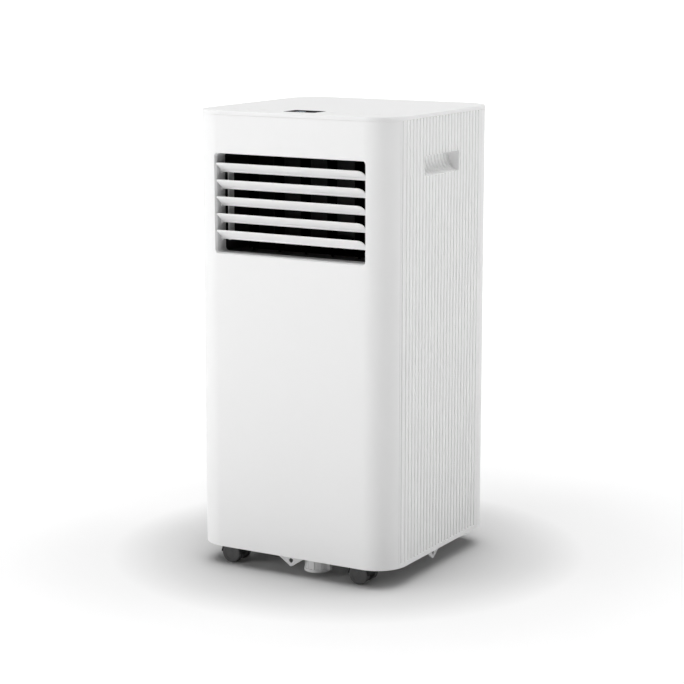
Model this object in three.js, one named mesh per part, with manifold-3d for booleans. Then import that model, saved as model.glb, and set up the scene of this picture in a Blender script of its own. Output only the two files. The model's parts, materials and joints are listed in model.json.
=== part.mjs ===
// Portable air conditioner on four twin-wheel casters, in millimetres, +Z up.
// The origin is on the floor under the middle of the bounding box, and the front faces -Y.
// Each mesh is one closed solid. Pieces that meet keep the clearance GAP.
import * as THREE from 'three';
import { mergeVertices } from 'three/addons/utils/BufferGeometryUtils.js';
import Module from 'manifold-3d';

const wasm = await Module();
wasm.setup();

// ---- Driving dimensions -------------------------------------------------------------------

// Overall
const WIDTH = 345;               // casing, left to right
const BODY_DEPTH = 335;          // casing, front face to rear face
const HEIGHT = 703;              // floor to the top face
const COLLAR_REACH = 20;         // exhaust collar behind the rear face
const CASTER_LIFT = 31;          // floor to the lower edge of the casing

// Casing
const WALL = 2.6;                // moulded wall of every casing panel
const FRONT_RADIUS = 48;         // upright front corners
const REAR_RADIUS = 46;          // upright rear corners
const GAP = 0.3;                 // clearance between pieces that meet
const SEAM = 0.6;                // open joint line between casing panels

// Facets of round shapes
const ROUND_SIDES = 20;
const SMALL_SIDES = 12;
const CORNER_ARC = 5;            // half the facets of a casing corner
const HIDDEN_ARC = 3;            // the same inside the casing
const SMALL_ARC = 3;             // the same on small rounded corners
const PIN_SIDES = 8;             // small pins and their holes
const PIPE_SIDES = 6;

// Casing seams
const FRONT_WRAP = 32;           // how far the front panel reaches round the corners
const REAR_WRAP = 48;            // how far the rear panel reaches round the corners
const COVER_SKIRT = 6;           // visible edge band of the top cover
const COVER_PLATE = 3;           // thickness of the top cover
const COVER_ROUND = 1.6;         // bevel of its upper edge

// Side ribs
const RIB_COUNT = 25;            // grooves on each side
const RIB_START = 36;            // front face to the first groove
const RIB_PITCH = 10.05;
const RIB_WIDTH = 3.4;
const RIB_DEPTH = 1.5;
const RIB_FOOT = 7;              // plain band under the grooves

// Grip scoop in each side
const GRIP_START = 101;          // front face to the scoop
const GRIP_LENGTH = 111;
const GRIP_TOP = 62.5;           // top face down to the scoop
const GRIP_HEIGHT = 30;
const GRIP_DEPTH = 19;           // at its upper edge; the floor curves out to the surface
const GRIP_STEPS = 6;            // facets of that curve

// Air outlet
const OUTLET_MARGIN = 43;        // opening to each side of the casing
const OUTLET_TOP = 63;           // top face down to the opening
const OUTLET_HEIGHT = 151.5;
const OUTLET_RADIUS = 6;
const OUTLET_BEVEL = 1.2;        // draft of its edge
const OUTLET_RETURN = 5.5;       // depth of the edge that the front panel turns inwards
const OUTLET_DEPTH = 28;         // front face to the rear of the outlet frame
const EDGE_WALL = 1.8;           // wall of the turned edge
const FRAME_WALL = 3;
const FRAME_FLANGE = 8;          // upper and lower flange of the frame

// Louvres
const LOUVRE_COUNT = 5;
const LOUVRE_HEAD = 15.2;        // opening's upper edge to the first louvre's front edge
const LOUVRE_FOOT = 35.1;        // opening's lower edge to the last louvre's front edge
const LOUVRE_SLOPE = 37;         // degrees, front edge high
const LOUVRE_REACH = 21;         // pivot to front edge
const LOUVRE_TAIL = 3;           // pivot to rear edge
const LOUVRE_THICK = 2;
const LOUVRE_ROUND = 8;          // front right corner of the blade
const LOUVRE_LEFT_ROUND = 3;
const LOUVRE_RECESS = 1;         // front edges behind the front face
const LOUVRE_LEFT_ROOM = 0.6;    // blade end to the frame, link side
const LOUVRE_RIGHT_ROOM = 4.6;
const PIVOT_RADIUS = 1.8;
const PIVOT_PLAY = 0.4;          // radial clearance of every pivot
const BARREL_RADIUS = 2.4;
const CRANK_REACH = 12;          // louvre pivot to crank pin
const CRANK_PLACE = 8;           // frame wall to the crank
const CRANK_THICK = 2;
const CRANK_HALF = 2;            // half height of the crank arm
const CRANK_PIN = 1.2;
const LINK_THICK = 2.2;
const LINK_WIDTH = 5;
const LINK_ROUND = 2;
const DRIVEN_LOUVRE = 2;         // index of the louvre on the motor shaft
const LOUVRE_MOTOR_RADIUS = 7.5;
const LOUVRE_MOTOR_ROOM = 6;     // motor to the inside of the front corner
const LOUVRE_MOTOR_SOCKET = 5;

// Vertical vanes in the duct
const VANE_COUNT = 5;
const VANE_PITCH = 46;
const VANE_CHORD = 26;
const VANE_THICK = 1.6;
const VANE_BACK = 50;            // front face to the vane pivots
const VANE_FOOT = 5.5;           // duct floor to the vane
const VANE_HEAD = 2;             // vane to duct roof
const VANE_CRANK = 11;           // pivot to link pin
const VANE_LINK_LIFT = 1.2;      // duct floor to the link bar

// Top controls
const KEY_COUNT = 4;             // on each side of the display
const KEY_FIRST = 48.5;          // middle to the nearest key
const KEY_PITCH = 24.5;
const KEY_RADIUS = 4.5;
const KEY_BACK = 48;             // front face to the row of keys and the display
const KEY_SINK = 0.2;            // key top under the cover's face
const KEY_PLAY = 0.3;
const KEY_CAP = 3.6;             // height of the key above its flange
const KEY_FLANGE = 1.3;          // thickness and width of the flange that keeps the key in
const KEY_TRAVEL = 0.8;
const DISPLAY_WIDTH = 54;
const DISPLAY_DEPTH = 38;
const DISPLAY_THICK = 1.8;
const DISPLAY_LEDGE = 2;
const DISPLAY_ROUND = 3;
const BOARD_THICK = 1.6;
const BOARD_END = 10;            // outermost key to the end of the board
const BOARD_DEPTH = 44;

// Base tray
const TRAY_ROOM = 5;             // caster hoods to the tray's underside
const TRAY_FLOOR = 3;
const TRAY_RIM = 24;
const TRAY_WALL = 2.5;
const TAB_DROP = 16.5;           // screw tabs below the casing edge
const TAB_HALF = 26;             // half width of a tab at the casing edge
const TAB_THICK = 2.5;
const TAB_INSET = 9;             // casing face to a tab
const TAB_HOLE = 2.6;
const TAB_TIP = 5;               // radius of the rounded tip
const TAB_HOLE_DROP = 7.25;      // casing edge down to the screw hole
const FRONT_TAB_X = -4;
const SIDE_TAB_BACK = 156;       // front face to the side tabs
const RAIL_START = 58;           // front face to the side rails
const RAIL_DROP = 6;
const SUMP_RADIUS = 19;
const SUMP_X = 28;
const SUMP_BACK = 34;
const SUMP_DROP = 23;            // below the casing edge
const SUMP_WALL = 2;
const SPOUT_HALF = 4;            // half width of the sump's side spout
const SPOUT_REACH = 5;
const SPOUT_RISE = 3;            // sump's underside to the spout
const DRAIN_RADIUS = 7;
const DRAIN_BORE = 4.4;
const DRAIN_HEIGHT = 19;         // tray underside to the drain's axis
const DRAIN_REACH = 1;           // drain neck behind the rear face
const PLUG_LENGTH = 10;
const PLUG_HEAD = 5;

// Casters
const CASTER_SIDE = 59;          // casing sides to the swivel axes
const CASTER_INSET = 38;         // front and rear faces to the swivel axes
const CASTER_TRAIL = 6.5;        // swivel axis to wheel axle
const WHEEL_RADIUS = 15.5;
const WHEEL_FACES = 20;
const WHEEL_WIDTH = 10.3;
const CASTER_WIDTH = 36;         // over both wheels
const AXLE_RADIUS = 2.4;
const HOOD_CLEAR = 0.8;          // wheel to hood
const HOOD_WALL = 1.2;
const STEM_RADIUS = 4;
const SOCKET_RADIUS = 8;
const SOCKET_HEIGHT = 21;        // above the tray's underside
const SOCKET_CAP = 3;            // closed top of the socket
const STEM_END = 2;              // stem to the closed top
const WEB_SHARE = 0.55;          // radius of the middle web, as a share of the hood's

// Partition and heat exchangers
const DECK_THICK = 3;
const DECK_FRONT_RISE = 262;     // tray underside to the front part of the deck
const DECK_REAR_ROOM = 7;        // exhaust duct to its rear part
const DECK_STEP = 180;           // front face to the step of the deck
const DECK_NOTCH = 36;           // left corner left open for the pipes
const COIL_SIDE_ROOM = 34;       // coils to the inner faces of the casing
const COIL_DEPTH = 36;
const COIL_PLATE = 2;
const BEND_RADIUS = 4;
const BEND_SPAN = 30;
const BEND_POINTS = 6;
const BEND_STEPS = 4;
const EVAPORATOR_HEIGHT = 240;
const EVAPORATOR_LIFT = 9;       // deck to evaporator
const EVAPORATOR_REAR = 29;      // evaporator to the casing's rear face
const CONDENSER_HEIGHT = 190;
const CONDENSER_LIFT = 10;
const CONDENSER_REAR = 49;       // condenser to the casing's rear face

// Blowers
const SCROLL_WALL = 3;
const FAN_RADIUS = 66;
const SCROLL_THROAT = 12;        // fan to the spiral wall where it is nearest
const SCROLL_SPREAD = 26;        // how much the spiral widens in one turn
const SCROLL_STEPS = 20;
const FAN_BLADES = 16;
const FAN_LENGTH = 64;
const FAN_RING = 3;
const BLADE_LENGTH = 12;         // width of the ring that holds the blades
const BLADE_CHORD = 10.8;
const BLADE_THICK = 1.4;
const BLADE_TURN = 35;           // degrees between blade and radius
const FAN_EYE = 46;              // inlet radius
const FAN_HUB = 12;
const UPPER_FAN_ROOM = 8;        // fan to the rear wall of its housing
const LOWER_FAN_ROOM = 4;
const UPPER_FAN_DROP = 48.5;     // outlet opening's lower edge down to the upper fan's axis
const UPPER_FAN_BACK = 80;       // front face to the upper fan
const UPPER_SCROLL_DEPTH = 88;
const LOWER_FAN_X = 34;
const LOWER_FAN_RISE = 122;      // tray underside to the lower fan's axis
const LOWER_FAN_BACK = 152;
const LOWER_SCROLL_DEPTH = 80;
const MOTOR_RADIUS = 38;
const MOTOR_LENGTH = 40;
const MOTOR_SIDES = 16;
const MOTOR_CAP_RADIUS = 22.8;
const MOTOR_CAP_REACH = 3;
const SHAFT_RADIUS = 4;
const SHAFT_SIDES = 10;
const SHAFT_PLAY = 0.3;
const COLLAR_RADIUS = 64;        // outside of the collar
const COLLAR_ROOM = 3;           // lower grille to the collar's flange
const EXHAUST_ROOM = 2;          // collar to the sides of the exhaust duct
const EXHAUST_DECK_ROOM = 4;     // deck's step to the exhaust duct
const COLLAR_WALL = 3;
const COLLAR_SIDES = 28;
const COLLAR_FLANGE = 8;
const COLLAR_FLANGE_THICK = 2.5;

// Splash disc, compressor, pipes and electrics
const SPLASH_X = 80;
const SPLASH_RISE = 38;
const SPLASH_RADIUS = 29;
const SPLASH_TEETH = 8;
const SPLASH_THICK = 2;
const SPLASH_NOTCH = 3;          // radius of the notches in its rim
const SPLASH_PIN = 2;
const SPLASH_ROOM = 4;           // condenser to the disc
const SPLASH_SHAFT = 3;          // disc to its motor
const SPLASH_MOTOR_RADIUS = 15;
const SPLASH_MOTOR_LENGTH = 20;
const COMPRESSOR_RADIUS = 52;
const COMPRESSOR_HEIGHT = 200;
const COMPRESSOR_BACK = 100;     // front face to its axis
const CAN_SIDES = 18;
const FOOT_HEIGHT = 8;
const FOOT_PLATE = 4;
const FOOT_RADIUS = 7;
const STRAP_HALF = 6;            // half width of the accumulator's strap
const ACCUMULATOR_RADIUS = 15;
const ACCUMULATOR_REACH = 16;    // compressor's skin to the accumulator's axis
const ACCUMULATOR_LOW = 50;      // above the compressor's feet
const ACCUMULATOR_TOP = 140;
const COMPRESSOR_ROOM = 20;      // compressor to the inner face of the casing
const PIPE_RADIUS = 4;
const PIPE_STRAIGHT = 8;         // straight end of each pipe
const CAPILLARY_RADIUS = 2;
const DISCHARGE_STEPS = 16;
const SUCTION_STEPS = 24;
const CONTROL_WIDTH = 62;
const CONTROL_DEPTH = 60;
const CONTROL_HEIGHT = 140;
const CONTROL_ROOM = 12;         // control box to the casing
const CONTROL_LIFT = 20;         // tray to the control box
const CAPACITOR_RADIUS = 19;
const CAPACITOR_HEIGHT = 70;
const GLAND_RADIUS = 7;
const GLAND_BORE = 3.6;
const GLAND_FLANGE = 3;
const GLAND_REACH = 9;
const GLAND_SIDE = 52.5;         // casing side to the gland
const GLAND_RISE = 34;

// Rear filter grilles
const GRILLE_SIDE = 48;          // casing side to the grille openings
const GRILLE_FRAME = 12;
const UPPER_GRILLE_LIFT = 5;     // evaporator's lower edge to the upper grille
const GRILLE_THICK = 10;
const SLAT_COUNT = 12;
const SLAT_THICK = 4;
const UPPER_GRILLE_HEIGHT = 230;
const LOWER_GRILLE_HEIGHT = 154;
const LOWER_GRILLE_RISE = 48;    // tray underside to the lower grille

// ---- Places worked out from them ----------------------------------------------------------

const FRONT = -(BODY_DEPTH + COLLAR_REACH) / 2;
const REAR = FRONT + BODY_DEPTH;
const SIDE = WIDTH / 2;
const PANEL_TOP = HEIGHT - COVER_SKIRT - SEAM;
const INNER = SIDE - WALL;
const OUTLET_SIDE = SIDE - OUTLET_MARGIN;
const OUTLET_HIGH = HEIGHT - OUTLET_TOP;
const OUTLET_LOW = OUTLET_HIGH - OUTLET_HEIGHT;
const DUCT_SIDE = OUTLET_SIDE - OUTLET_BEVEL;
const DUCT_HIGH = OUTLET_HIGH - OUTLET_BEVEL;
const DUCT_LOW = OUTLET_LOW + OUTLET_BEVEL;
const FRAME_REAR = FRONT + OUTLET_DEPTH;
const HOOD_RADIUS = WHEEL_RADIUS + HOOD_CLEAR + HOOD_WALL;
const TRAY_BOTTOM = WHEEL_RADIUS + HOOD_RADIUS + TRAY_ROOM;
const TRAY_TOP = TRAY_BOTTOM + TRAY_FLOOR;
const slope = THREE.MathUtils.degToRad(LOUVRE_SLOPE);
const LOUVRE_Y = FRONT + LOUVRE_RECESS + LOUVRE_REACH * Math.cos(slope);
const LOUVRE_TOP_Z = OUTLET_HIGH - LOUVRE_HEAD - LOUVRE_REACH * Math.sin(slope);
const LOUVRE_PITCH = (OUTLET_HEIGHT - LOUVRE_HEAD - LOUVRE_FOOT) / (LOUVRE_COUNT - 1);
const CRANK_X = -DUCT_SIDE + CRANK_PLACE;
const UPPER_AXIS_Z = OUTLET_LOW - UPPER_FAN_DROP;
const LOWER_AXIS_Z = TRAY_BOTTOM + LOWER_FAN_RISE;
const UPPER_SCROLL_REAR = FRONT + UPPER_FAN_BACK + UPPER_SCROLL_DEPTH;
const LOWER_SCROLL_REAR = FRONT + LOWER_FAN_BACK + LOWER_SCROLL_DEPTH;
const SCROLL_START = FAN_RADIUS + SCROLL_THROAT;
const LOWER_GRILLE_LOW = TRAY_BOTTOM + LOWER_GRILLE_RISE;
const LOWER_GRILLE_HIGH = LOWER_GRILLE_LOW + LOWER_GRILLE_HEIGHT;
const COLLAR_FLANGE_RADIUS = COLLAR_RADIUS + COLLAR_FLANGE;
const EXHAUST_HALF = COLLAR_RADIUS + EXHAUST_ROOM;
const EXHAUST_Z = LOWER_GRILLE_HIGH + COLLAR_ROOM + COLLAR_FLANGE_RADIUS;
const DECK_FRONT_Z = TRAY_BOTTOM + DECK_FRONT_RISE;
const DECK_REAR_Z = EXHAUST_Z + EXHAUST_HALF + DECK_REAR_ROOM;
const EVAPORATOR_Z = DECK_REAR_Z + DECK_THICK + EVAPORATOR_LIFT;
const UPPER_GRILLE_LOW = EVAPORATOR_Z + UPPER_GRILLE_LIFT;
const CONDENSER_Z = TRAY_TOP + CONDENSER_LIFT;
const EVAPORATOR_FRONT = REAR - EVAPORATOR_REAR - COIL_DEPTH;
const CONDENSER_FRONT = REAR - CONDENSER_REAR - COIL_DEPTH;
const COMPRESSOR_X = -INNER + COMPRESSOR_ROOM + COMPRESSOR_RADIUS;
const COMPRESSOR_Y = FRONT + COMPRESSOR_BACK;
const COMPRESSOR_TOP = TRAY_TOP + GAP + COMPRESSOR_HEIGHT;
const GRILLE_HALF = SIDE - GRILLE_SIDE;
const REAR_INNER = REAR - WALL;
const CASTER_X = SIDE - CASTER_SIDE;
const GLAND_X = GLAND_SIDE - SIDE;
const BEYOND = 10;               // how far a cutter runs past the wall that it cuts
const FAR = WIDTH + BODY_DEPTH + HEIGHT;      // longer than anything in the object

// ---- Materials ----------------------------------------------------------------------------

const paint = (color, roughness, metalness = 0) =>
  new THREE.MeshStandardMaterial({ color, roughness, metalness });
const whitePlastic = paint(0xe9e9e9, 0.45);
const lightPlastic = paint(0xd4d4d4, 0.5);
const greyPlastic = paint(0x4c4c4e, 0.5);
const blackPlastic = paint(0x141415, 0.55);
const darkGlass = paint(0x26282b, 0.12);
const foam = paint(0x1b1b1c, 0.9);
const fins = paint(0xbfc4c8, 0.4, 0.9);
const copper = paint(0xb87349, 0.35, 1);
const steel = paint(0xb9bcbf, 0.4, 0.9);
const blackEnamel = paint(0x17181a, 0.4, 0.3);
const boardGreen = paint(0x1f6b3a, 0.6);

// ---- Shape helpers ------------------------------------------------------------------------

// Turns a closed three.js geometry into a manifold solid.
function solid(geometry) {
  const plain = geometry.clone();
  plain.deleteAttribute('normal');
  plain.deleteAttribute('uv');
  const merged = mergeVertices(plain, 1e-4);
  return new wasm.Manifold(new wasm.Mesh({
    numProp: 3,
    vertProperties: new Float32Array(merged.attributes.position.array),
    triVerts: new Uint32Array(merged.index.array),
  }));
}

// Turns a manifold solid back into a three.js geometry.
function geometryOf(manifold) {
  const mesh = manifold.getMesh();
  const geometry = new THREE.BufferGeometry();
  const places = new Float32Array(mesh.vertProperties);
  geometry.setAttribute('position', new THREE.BufferAttribute(places, 3));
  geometry.setIndex(new THREE.BufferAttribute(new Uint32Array(mesh.triVerts), 1));
  geometry.computeVertexNormals();
  return geometry;
}

const join = (first, ...others) => others.reduce((whole, other) => whole.add(other), first);
const cut = (first, ...others) => others.reduce((whole, other) => whole.subtract(other), first);

// A box between two limits along each axis.
function block([x0, x1], [y0, y1], [z0, z1]) {
  const box = new THREE.BoxGeometry(x1 - x0, y1 - y0, z1 - z0);
  return solid(box.translate((x0 + x1) / 2, (y0 + y1) / 2, (z0 + z1) / 2));
}

// A cylinder along one axis, from one place on that axis to another; a and b are the two other
// coordinates of its axis, in X, Y, Z order.
function rod(axis, radius, from, to, a = 0, b = 0, sides = ROUND_SIDES) {
  const cylinder = new THREE.CylinderGeometry(radius, radius, to - from, sides);
  cylinder.translate(0, (from + to) / 2, 0);
  if (axis === 'x') cylinder.rotateZ(-Math.PI / 2).translate(0, a, b);
  if (axis === 'y') cylinder.translate(a, 0, b);
  if (axis === 'z') cylinder.rotateX(Math.PI / 2).translate(a, b, 0);
  return solid(cylinder);
}

// Extrudes a shape drawn in the XY plane upwards.
function riseZ(shape, z0, z1, curveSegments = CORNER_ARC) {
  const options = { depth: z1 - z0, bevelEnabled: false, curveSegments };
  const bar = new THREE.ExtrudeGeometry(shape, options);
  return solid(bar.translate(0, 0, z0));
}

// Extrudes a shape drawn in the XZ plane along Y.
function riseY(shape, y0, y1) {
  const options = { depth: y1 - y0, bevelEnabled: false, curveSegments: SMALL_ARC };
  const bar = new THREE.ExtrudeGeometry(shape, options);
  return solid(bar.rotateX(Math.PI / 2).translate(0, y1, 0));
}

// Extrudes a shape drawn in the YZ plane along X.
function riseX(shape, x0, x1) {
  const options = { depth: x1 - x0, bevelEnabled: false, curveSegments: SMALL_ARC };
  const bar = new THREE.ExtrudeGeometry(shape, options);
  return solid(bar.rotateY(Math.PI / 2).rotateX(Math.PI / 2).translate(x0, 0, 0));
}

// A round pipe along a smooth curve through the given points.
function pipe(points, radius, steps, sides = PIPE_SIDES) {
  const section = new THREE.Shape();
  section.absarc(0, 0, radius, 0, Math.PI * 2);
  const places = points.map((p) => new THREE.Vector3(...p));
  const path = new THREE.CatmullRomCurve3(places, false, 'centripetal');
  return solid(new THREE.ExtrudeGeometry(section, {
    extrudePath: path, steps, curveSegments: sides / 2, bevelEnabled: false,
  }));
}

// A rectangle with rounded corners between two limits along each of its axes.
function roundedRectangle([u0, u1], [v0, v1], radius) {
  const shape = new THREE.Shape();
  shape.absarc(u1 - radius, v0 + radius, radius, -Math.PI / 2, 0);
  shape.absarc(u1 - radius, v1 - radius, radius, 0, Math.PI / 2);
  shape.absarc(u0 + radius, v1 - radius, radius, Math.PI / 2, Math.PI);
  shape.absarc(u0 + radius, v0 + radius, radius, Math.PI, Math.PI * 1.5);
  shape.closePath();
  return shape;
}

// The casing's outline from above, moved inwards by a distance.
function casingOutline(inset) {
  const front = FRONT_RADIUS - inset;
  const rear = REAR_RADIUS - inset;
  const side = SIDE - inset;
  const shape = new THREE.Shape();
  shape.absarc(side - front, FRONT + FRONT_RADIUS, front, -Math.PI / 2, 0);
  shape.absarc(side - rear, REAR - REAR_RADIUS, rear, 0, Math.PI / 2);
  shape.absarc(rear - side, REAR - REAR_RADIUS, rear, Math.PI / 2, Math.PI);
  shape.absarc(front - side, FRONT + FRONT_RADIUS, front, Math.PI, Math.PI * 1.5);
  shape.closePath();
  return shape;
}

// A hollow wall that follows the casing's outline.
function casingWall(inset, thickness, z0, z1, arcSteps) {
  return cut(riseZ(casingOutline(inset), z0, z1, arcSteps),
    riseZ(casingOutline(inset + thickness), z0 - 1, z1 + 1, arcSteps));
}

const airConditioner = new THREE.Group();

// Adds a named piece to the object, or to one of its groups.
function addPiece(name, manifold, material, [x, y, z] = [0, 0, 0], parent = airConditioner) {
  const mesh = new THREE.Mesh(geometryOf(manifold), material);
  mesh.name = name;
  mesh.position.set(x, y, z);
  parent.add(mesh);
  return mesh;
}

// ---- Casing -------------------------------------------------------------------------------

const SIDE_FRONT = FRONT + FRONT_WRAP + SEAM;
const SIDE_REAR = REAR - REAR_WRAP;

// The outlet opening narrows from its full size at the front face to the frame behind it.
function outletCutter() {
  const inner = roundedRectangle([-DUCT_SIDE, DUCT_SIDE], [-DUCT_HIGH, -DUCT_LOW], OUTLET_RADIUS);
  const taper = new THREE.ExtrudeGeometry(inner, {
    depth: WALL,
    bevelThickness: OUTLET_RETURN,
    bevelSize: OUTLET_BEVEL,
    bevelSegments: 1,
    curveSegments: SMALL_ARC,
  });
  return solid(taper.rotateX(-Math.PI / 2).translate(0, FRONT - WALL, 0));
}

function buildFrontPanel() {
  const wall = casingWall(0, WALL, CASTER_LIFT, PANEL_TOP);
  const keep = block([-FAR, FAR], [-FAR, FRONT + FRONT_WRAP], [0, FAR]);
  const edgeShape = roundedRectangle([-OUTLET_SIDE - EDGE_WALL, OUTLET_SIDE + EDGE_WALL],
    [OUTLET_LOW - EDGE_WALL, OUTLET_HIGH + EDGE_WALL], OUTLET_RADIUS + EDGE_WALL);
  const edge = riseY(edgeShape, FRONT + WALL / 2, FRONT + OUTLET_RETURN);
  addPiece('front_panel', cut(join(wall.intersect(keep), edge), outletCutter()), whitePlastic);
}

// Quarter ellipse, drawn in the plane of X and Z: deep at the upper edge, flush at the lower.
function gripProfile(extra) {
  const top = HEIGHT - GRIP_TOP + extra;
  const shape = new THREE.Shape();
  shape.moveTo(SIDE + 2, top);
  shape.lineTo(SIDE - GRIP_DEPTH - extra, top);
  for (let i = 1; i <= GRIP_STEPS; i += 1) {
    const turn = (i / GRIP_STEPS) * Math.PI / 2;
    const depth = (GRIP_DEPTH + extra) * Math.cos(turn);
    shape.lineTo(SIDE - depth, top - (GRIP_HEIGHT + extra * 2) * Math.sin(turn));
  }
  shape.lineTo(SIDE + 2, top - GRIP_HEIGHT - extra * 2);
  shape.closePath();
  return shape;
}

function buildSidePanels() {
  const gripFront = FRONT + GRIP_START;
  const gripRear = gripFront + GRIP_LENGTH;
  const wall = casingWall(0, WALL, CASTER_LIFT, PANEL_TOP);
  const keep = block([0, FAR], [SIDE_FRONT, SIDE_REAR], [0, FAR]);
  const bowl = riseY(gripProfile(WALL), gripFront - WALL, gripRear + WALL)
    .intersect(block([0, SIDE], [-FAR, FAR], [0, FAR]));
  let right = join(wall.intersect(keep), bowl);
  const hollows = [riseY(gripProfile(0), gripFront, gripRear)];
  for (let i = 0; i < RIB_COUNT; i += 1) {
    const y = FRONT + RIB_START + i * RIB_PITCH;
    const run = [y - RIB_WIDTH / 2, y + RIB_WIDTH / 2];
    const insetSide = y < FRONT + FRONT_RADIUS
      ? FRONT_RADIUS - Math.sqrt(FRONT_RADIUS ** 2 - (FRONT + FRONT_RADIUS - y) ** 2) : 0;
    hollows.push(block([SIDE - insetSide - RIB_DEPTH, SIDE + 1], run, [CASTER_LIFT + RIB_FOOT, FAR]));
  }
  right = cut(right, ...hollows);
  addPiece('right_side_panel', right, whitePlastic);
  addPiece('left_side_panel', right.mirror([1, 0, 0]), whitePlastic);
}

const grilles = {
  upper_filter_grille: [UPPER_GRILLE_LOW, UPPER_GRILLE_LOW + UPPER_GRILLE_HEIGHT],
  lower_filter_grille: [LOWER_GRILLE_LOW, LOWER_GRILLE_HIGH],
};

function buildRearPanel() {
  const wall = casingWall(0, WALL, CASTER_LIFT, PANEL_TOP);
  const keep = block([-FAR, FAR], [SIDE_REAR + SEAM, FAR], [0, FAR]);
  const through = [REAR - BEYOND, REAR + BEYOND];
  const openings = [
    rod('y', COLLAR_RADIUS - COLLAR_WALL + GAP, ...through, 0, EXHAUST_Z, COLLAR_SIDES),
    rod('y', DRAIN_RADIUS + GAP, ...through, 0, TRAY_BOTTOM + DRAIN_HEIGHT),
    rod('y', GLAND_RADIUS + GAP, ...through, GLAND_X, TRAY_BOTTOM + GLAND_RISE),
  ];
  const half = GRILLE_HALF + GAP;
  for (const [low, high] of Object.values(grilles)) {
    openings.push(block([-half, half], through, [low - GAP, high + GAP]));
  }
  addPiece('rear_panel', cut(wall.intersect(keep), ...openings), whitePlastic);
}

// ---- Rear filter grilles, which pull out to the rear --------------------------------------

function buildFilterGrille(name, [low, high]) {
  const slotPitch = (high - low - GRILLE_FRAME * 2 + SLAT_THICK) / SLAT_COUNT;
  const half = GRILLE_HALF - GRILLE_FRAME;
  const slots = [];
  for (let i = 0; i < SLAT_COUNT; i += 1) {
    const z = low + GRILLE_FRAME + i * slotPitch;
    slots.push(block([-half, half], [-FAR, FAR], [z, z + slotPitch - SLAT_THICK]));
  }
  const frame = block([-GRILLE_HALF, GRILLE_HALF], [REAR - GRILLE_THICK, REAR], [low, high]);
  addPiece(name, cut(frame, ...slots), whitePlastic);
}

// ---- Top cover, display and keys ----------------------------------------------------------

const KEY_Y = FRONT + KEY_BACK;
const keyPlaces = [-1, 1].flatMap((side) =>
  Array.from({ length: KEY_COUNT }, (_, i) => side * (KEY_FIRST + i * KEY_PITCH))).sort((a, b) => a - b);
const displayOutline = (grow) => roundedRectangle(
  [-DISPLAY_WIDTH / 2 - grow, DISPLAY_WIDTH / 2 + grow],
  [KEY_Y - DISPLAY_DEPTH / 2 - grow, KEY_Y + DISPLAY_DEPTH / 2 + grow], DISPLAY_ROUND);
const DISPLAY_BOTTOM = HEIGHT - DISPLAY_THICK;

function buildTopCover() {
  const low = HEIGHT - COVER_SKIRT;
  const rounded = new THREE.ExtrudeGeometry(casingOutline(0), {
    depth: COVER_SKIRT * 2 - COVER_ROUND * 2,
    bevelThickness: COVER_ROUND,
    bevelSize: COVER_ROUND,
    bevelOffset: -COVER_ROUND,
    bevelSegments: 1,
    curveSegments: CORNER_ARC,
  });
  const slab = solid(rounded.translate(0, 0, low - COVER_SKIRT + COVER_ROUND))
    .intersect(block([-FAR, FAR], [-FAR, FAR], [low, HEIGHT]));
  const hollow = riseZ(casingOutline(WALL), low - 1, HEIGHT - COVER_PLATE);
  const lip = casingWall(WALL + GAP * 2, WALL, low - COVER_SKIRT, HEIGHT - COVER_PLATE, HIDDEN_ARC);
  const holes = keyPlaces.map((x) =>
    rod('z', KEY_RADIUS + KEY_PLAY, low, HEIGHT + 1, x, KEY_Y, SMALL_SIDES));
  const pocket = riseZ(displayOutline(GAP), DISPLAY_BOTTOM - GAP, HEIGHT + 1);
  const window = riseZ(displayOutline(-DISPLAY_LEDGE), low, HEIGHT + 1);
  addPiece('top_cover', cut(join(cut(slab, hollow), lip), pocket, window, ...holes), whitePlastic);
  addPiece('display_window', riseZ(displayOutline(0), DISPLAY_BOTTOM, HEIGHT), darkGlass);
}

function buildKeys() {
  const top = HEIGHT - KEY_SINK;
  const low = top - KEY_CAP - KEY_FLANGE;
  const cap = rod('z', KEY_RADIUS, low, top, 0, 0, SMALL_SIDES);
  const flange = rod('z', KEY_RADIUS + KEY_FLANGE, low, low + KEY_FLANGE, 0, 0, SMALL_SIDES);
  const key = join(cap, flange);
  keyPlaces.forEach((x, i) => addPiece(`key_${i + 1}`, key, lightPlastic, [x, KEY_Y, 0]));
}

function buildControlBoard() {
  const top = HEIGHT - KEY_SINK - KEY_CAP - KEY_FLANGE - KEY_TRAVEL - GAP;
  const half = Math.max(...keyPlaces) + BOARD_END;
  const run = [KEY_Y - BOARD_DEPTH / 2, KEY_Y + BOARD_DEPTH / 2];
  const board = block([-half, half], run, [top - BOARD_THICK, top]);
  addPiece('control_board', board, boardGreen);
}

// ---- Outlet frame, louvres and their link -------------------------------------------------

const louvreZ = (i) => LOUVRE_TOP_Z - i * LOUVRE_PITCH;
const PIVOT_HOLE = PIVOT_RADIUS + PIVOT_PLAY;

function buildOutletFrame() {
  const start = FRONT + OUTLET_RETURN + GAP;
  const [side, low, high] = [DUCT_SIDE + FRAME_WALL, DUCT_LOW - FRAME_WALL, DUCT_HIGH + FRAME_WALL];
  const tube = riseY(roundedRectangle([-side, side], [low, high], OUTLET_RADIUS), start, FRAME_REAR);
  const flat = SIDE - FRONT_RADIUS;
  const flange = block([-flat, flat], [start, start + FRAME_WALL],
    [low - FRAME_FLANGE, high + FRAME_FLANGE]);
  const passage = riseY(roundedRectangle([-DUCT_SIDE, DUCT_SIDE], [DUCT_LOW, DUCT_HIGH],
    OUTLET_RADIUS), -FAR, FAR);
  const holes = Array.from({ length: LOUVRE_COUNT }, (_, i) =>
    rod('x', PIVOT_HOLE, -SIDE, SIDE, LOUVRE_Y, louvreZ(i), PIN_SIDES));
  addPiece('outlet_frame', cut(join(tube, flange), passage, ...holes), lightPlastic);
}

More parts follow.
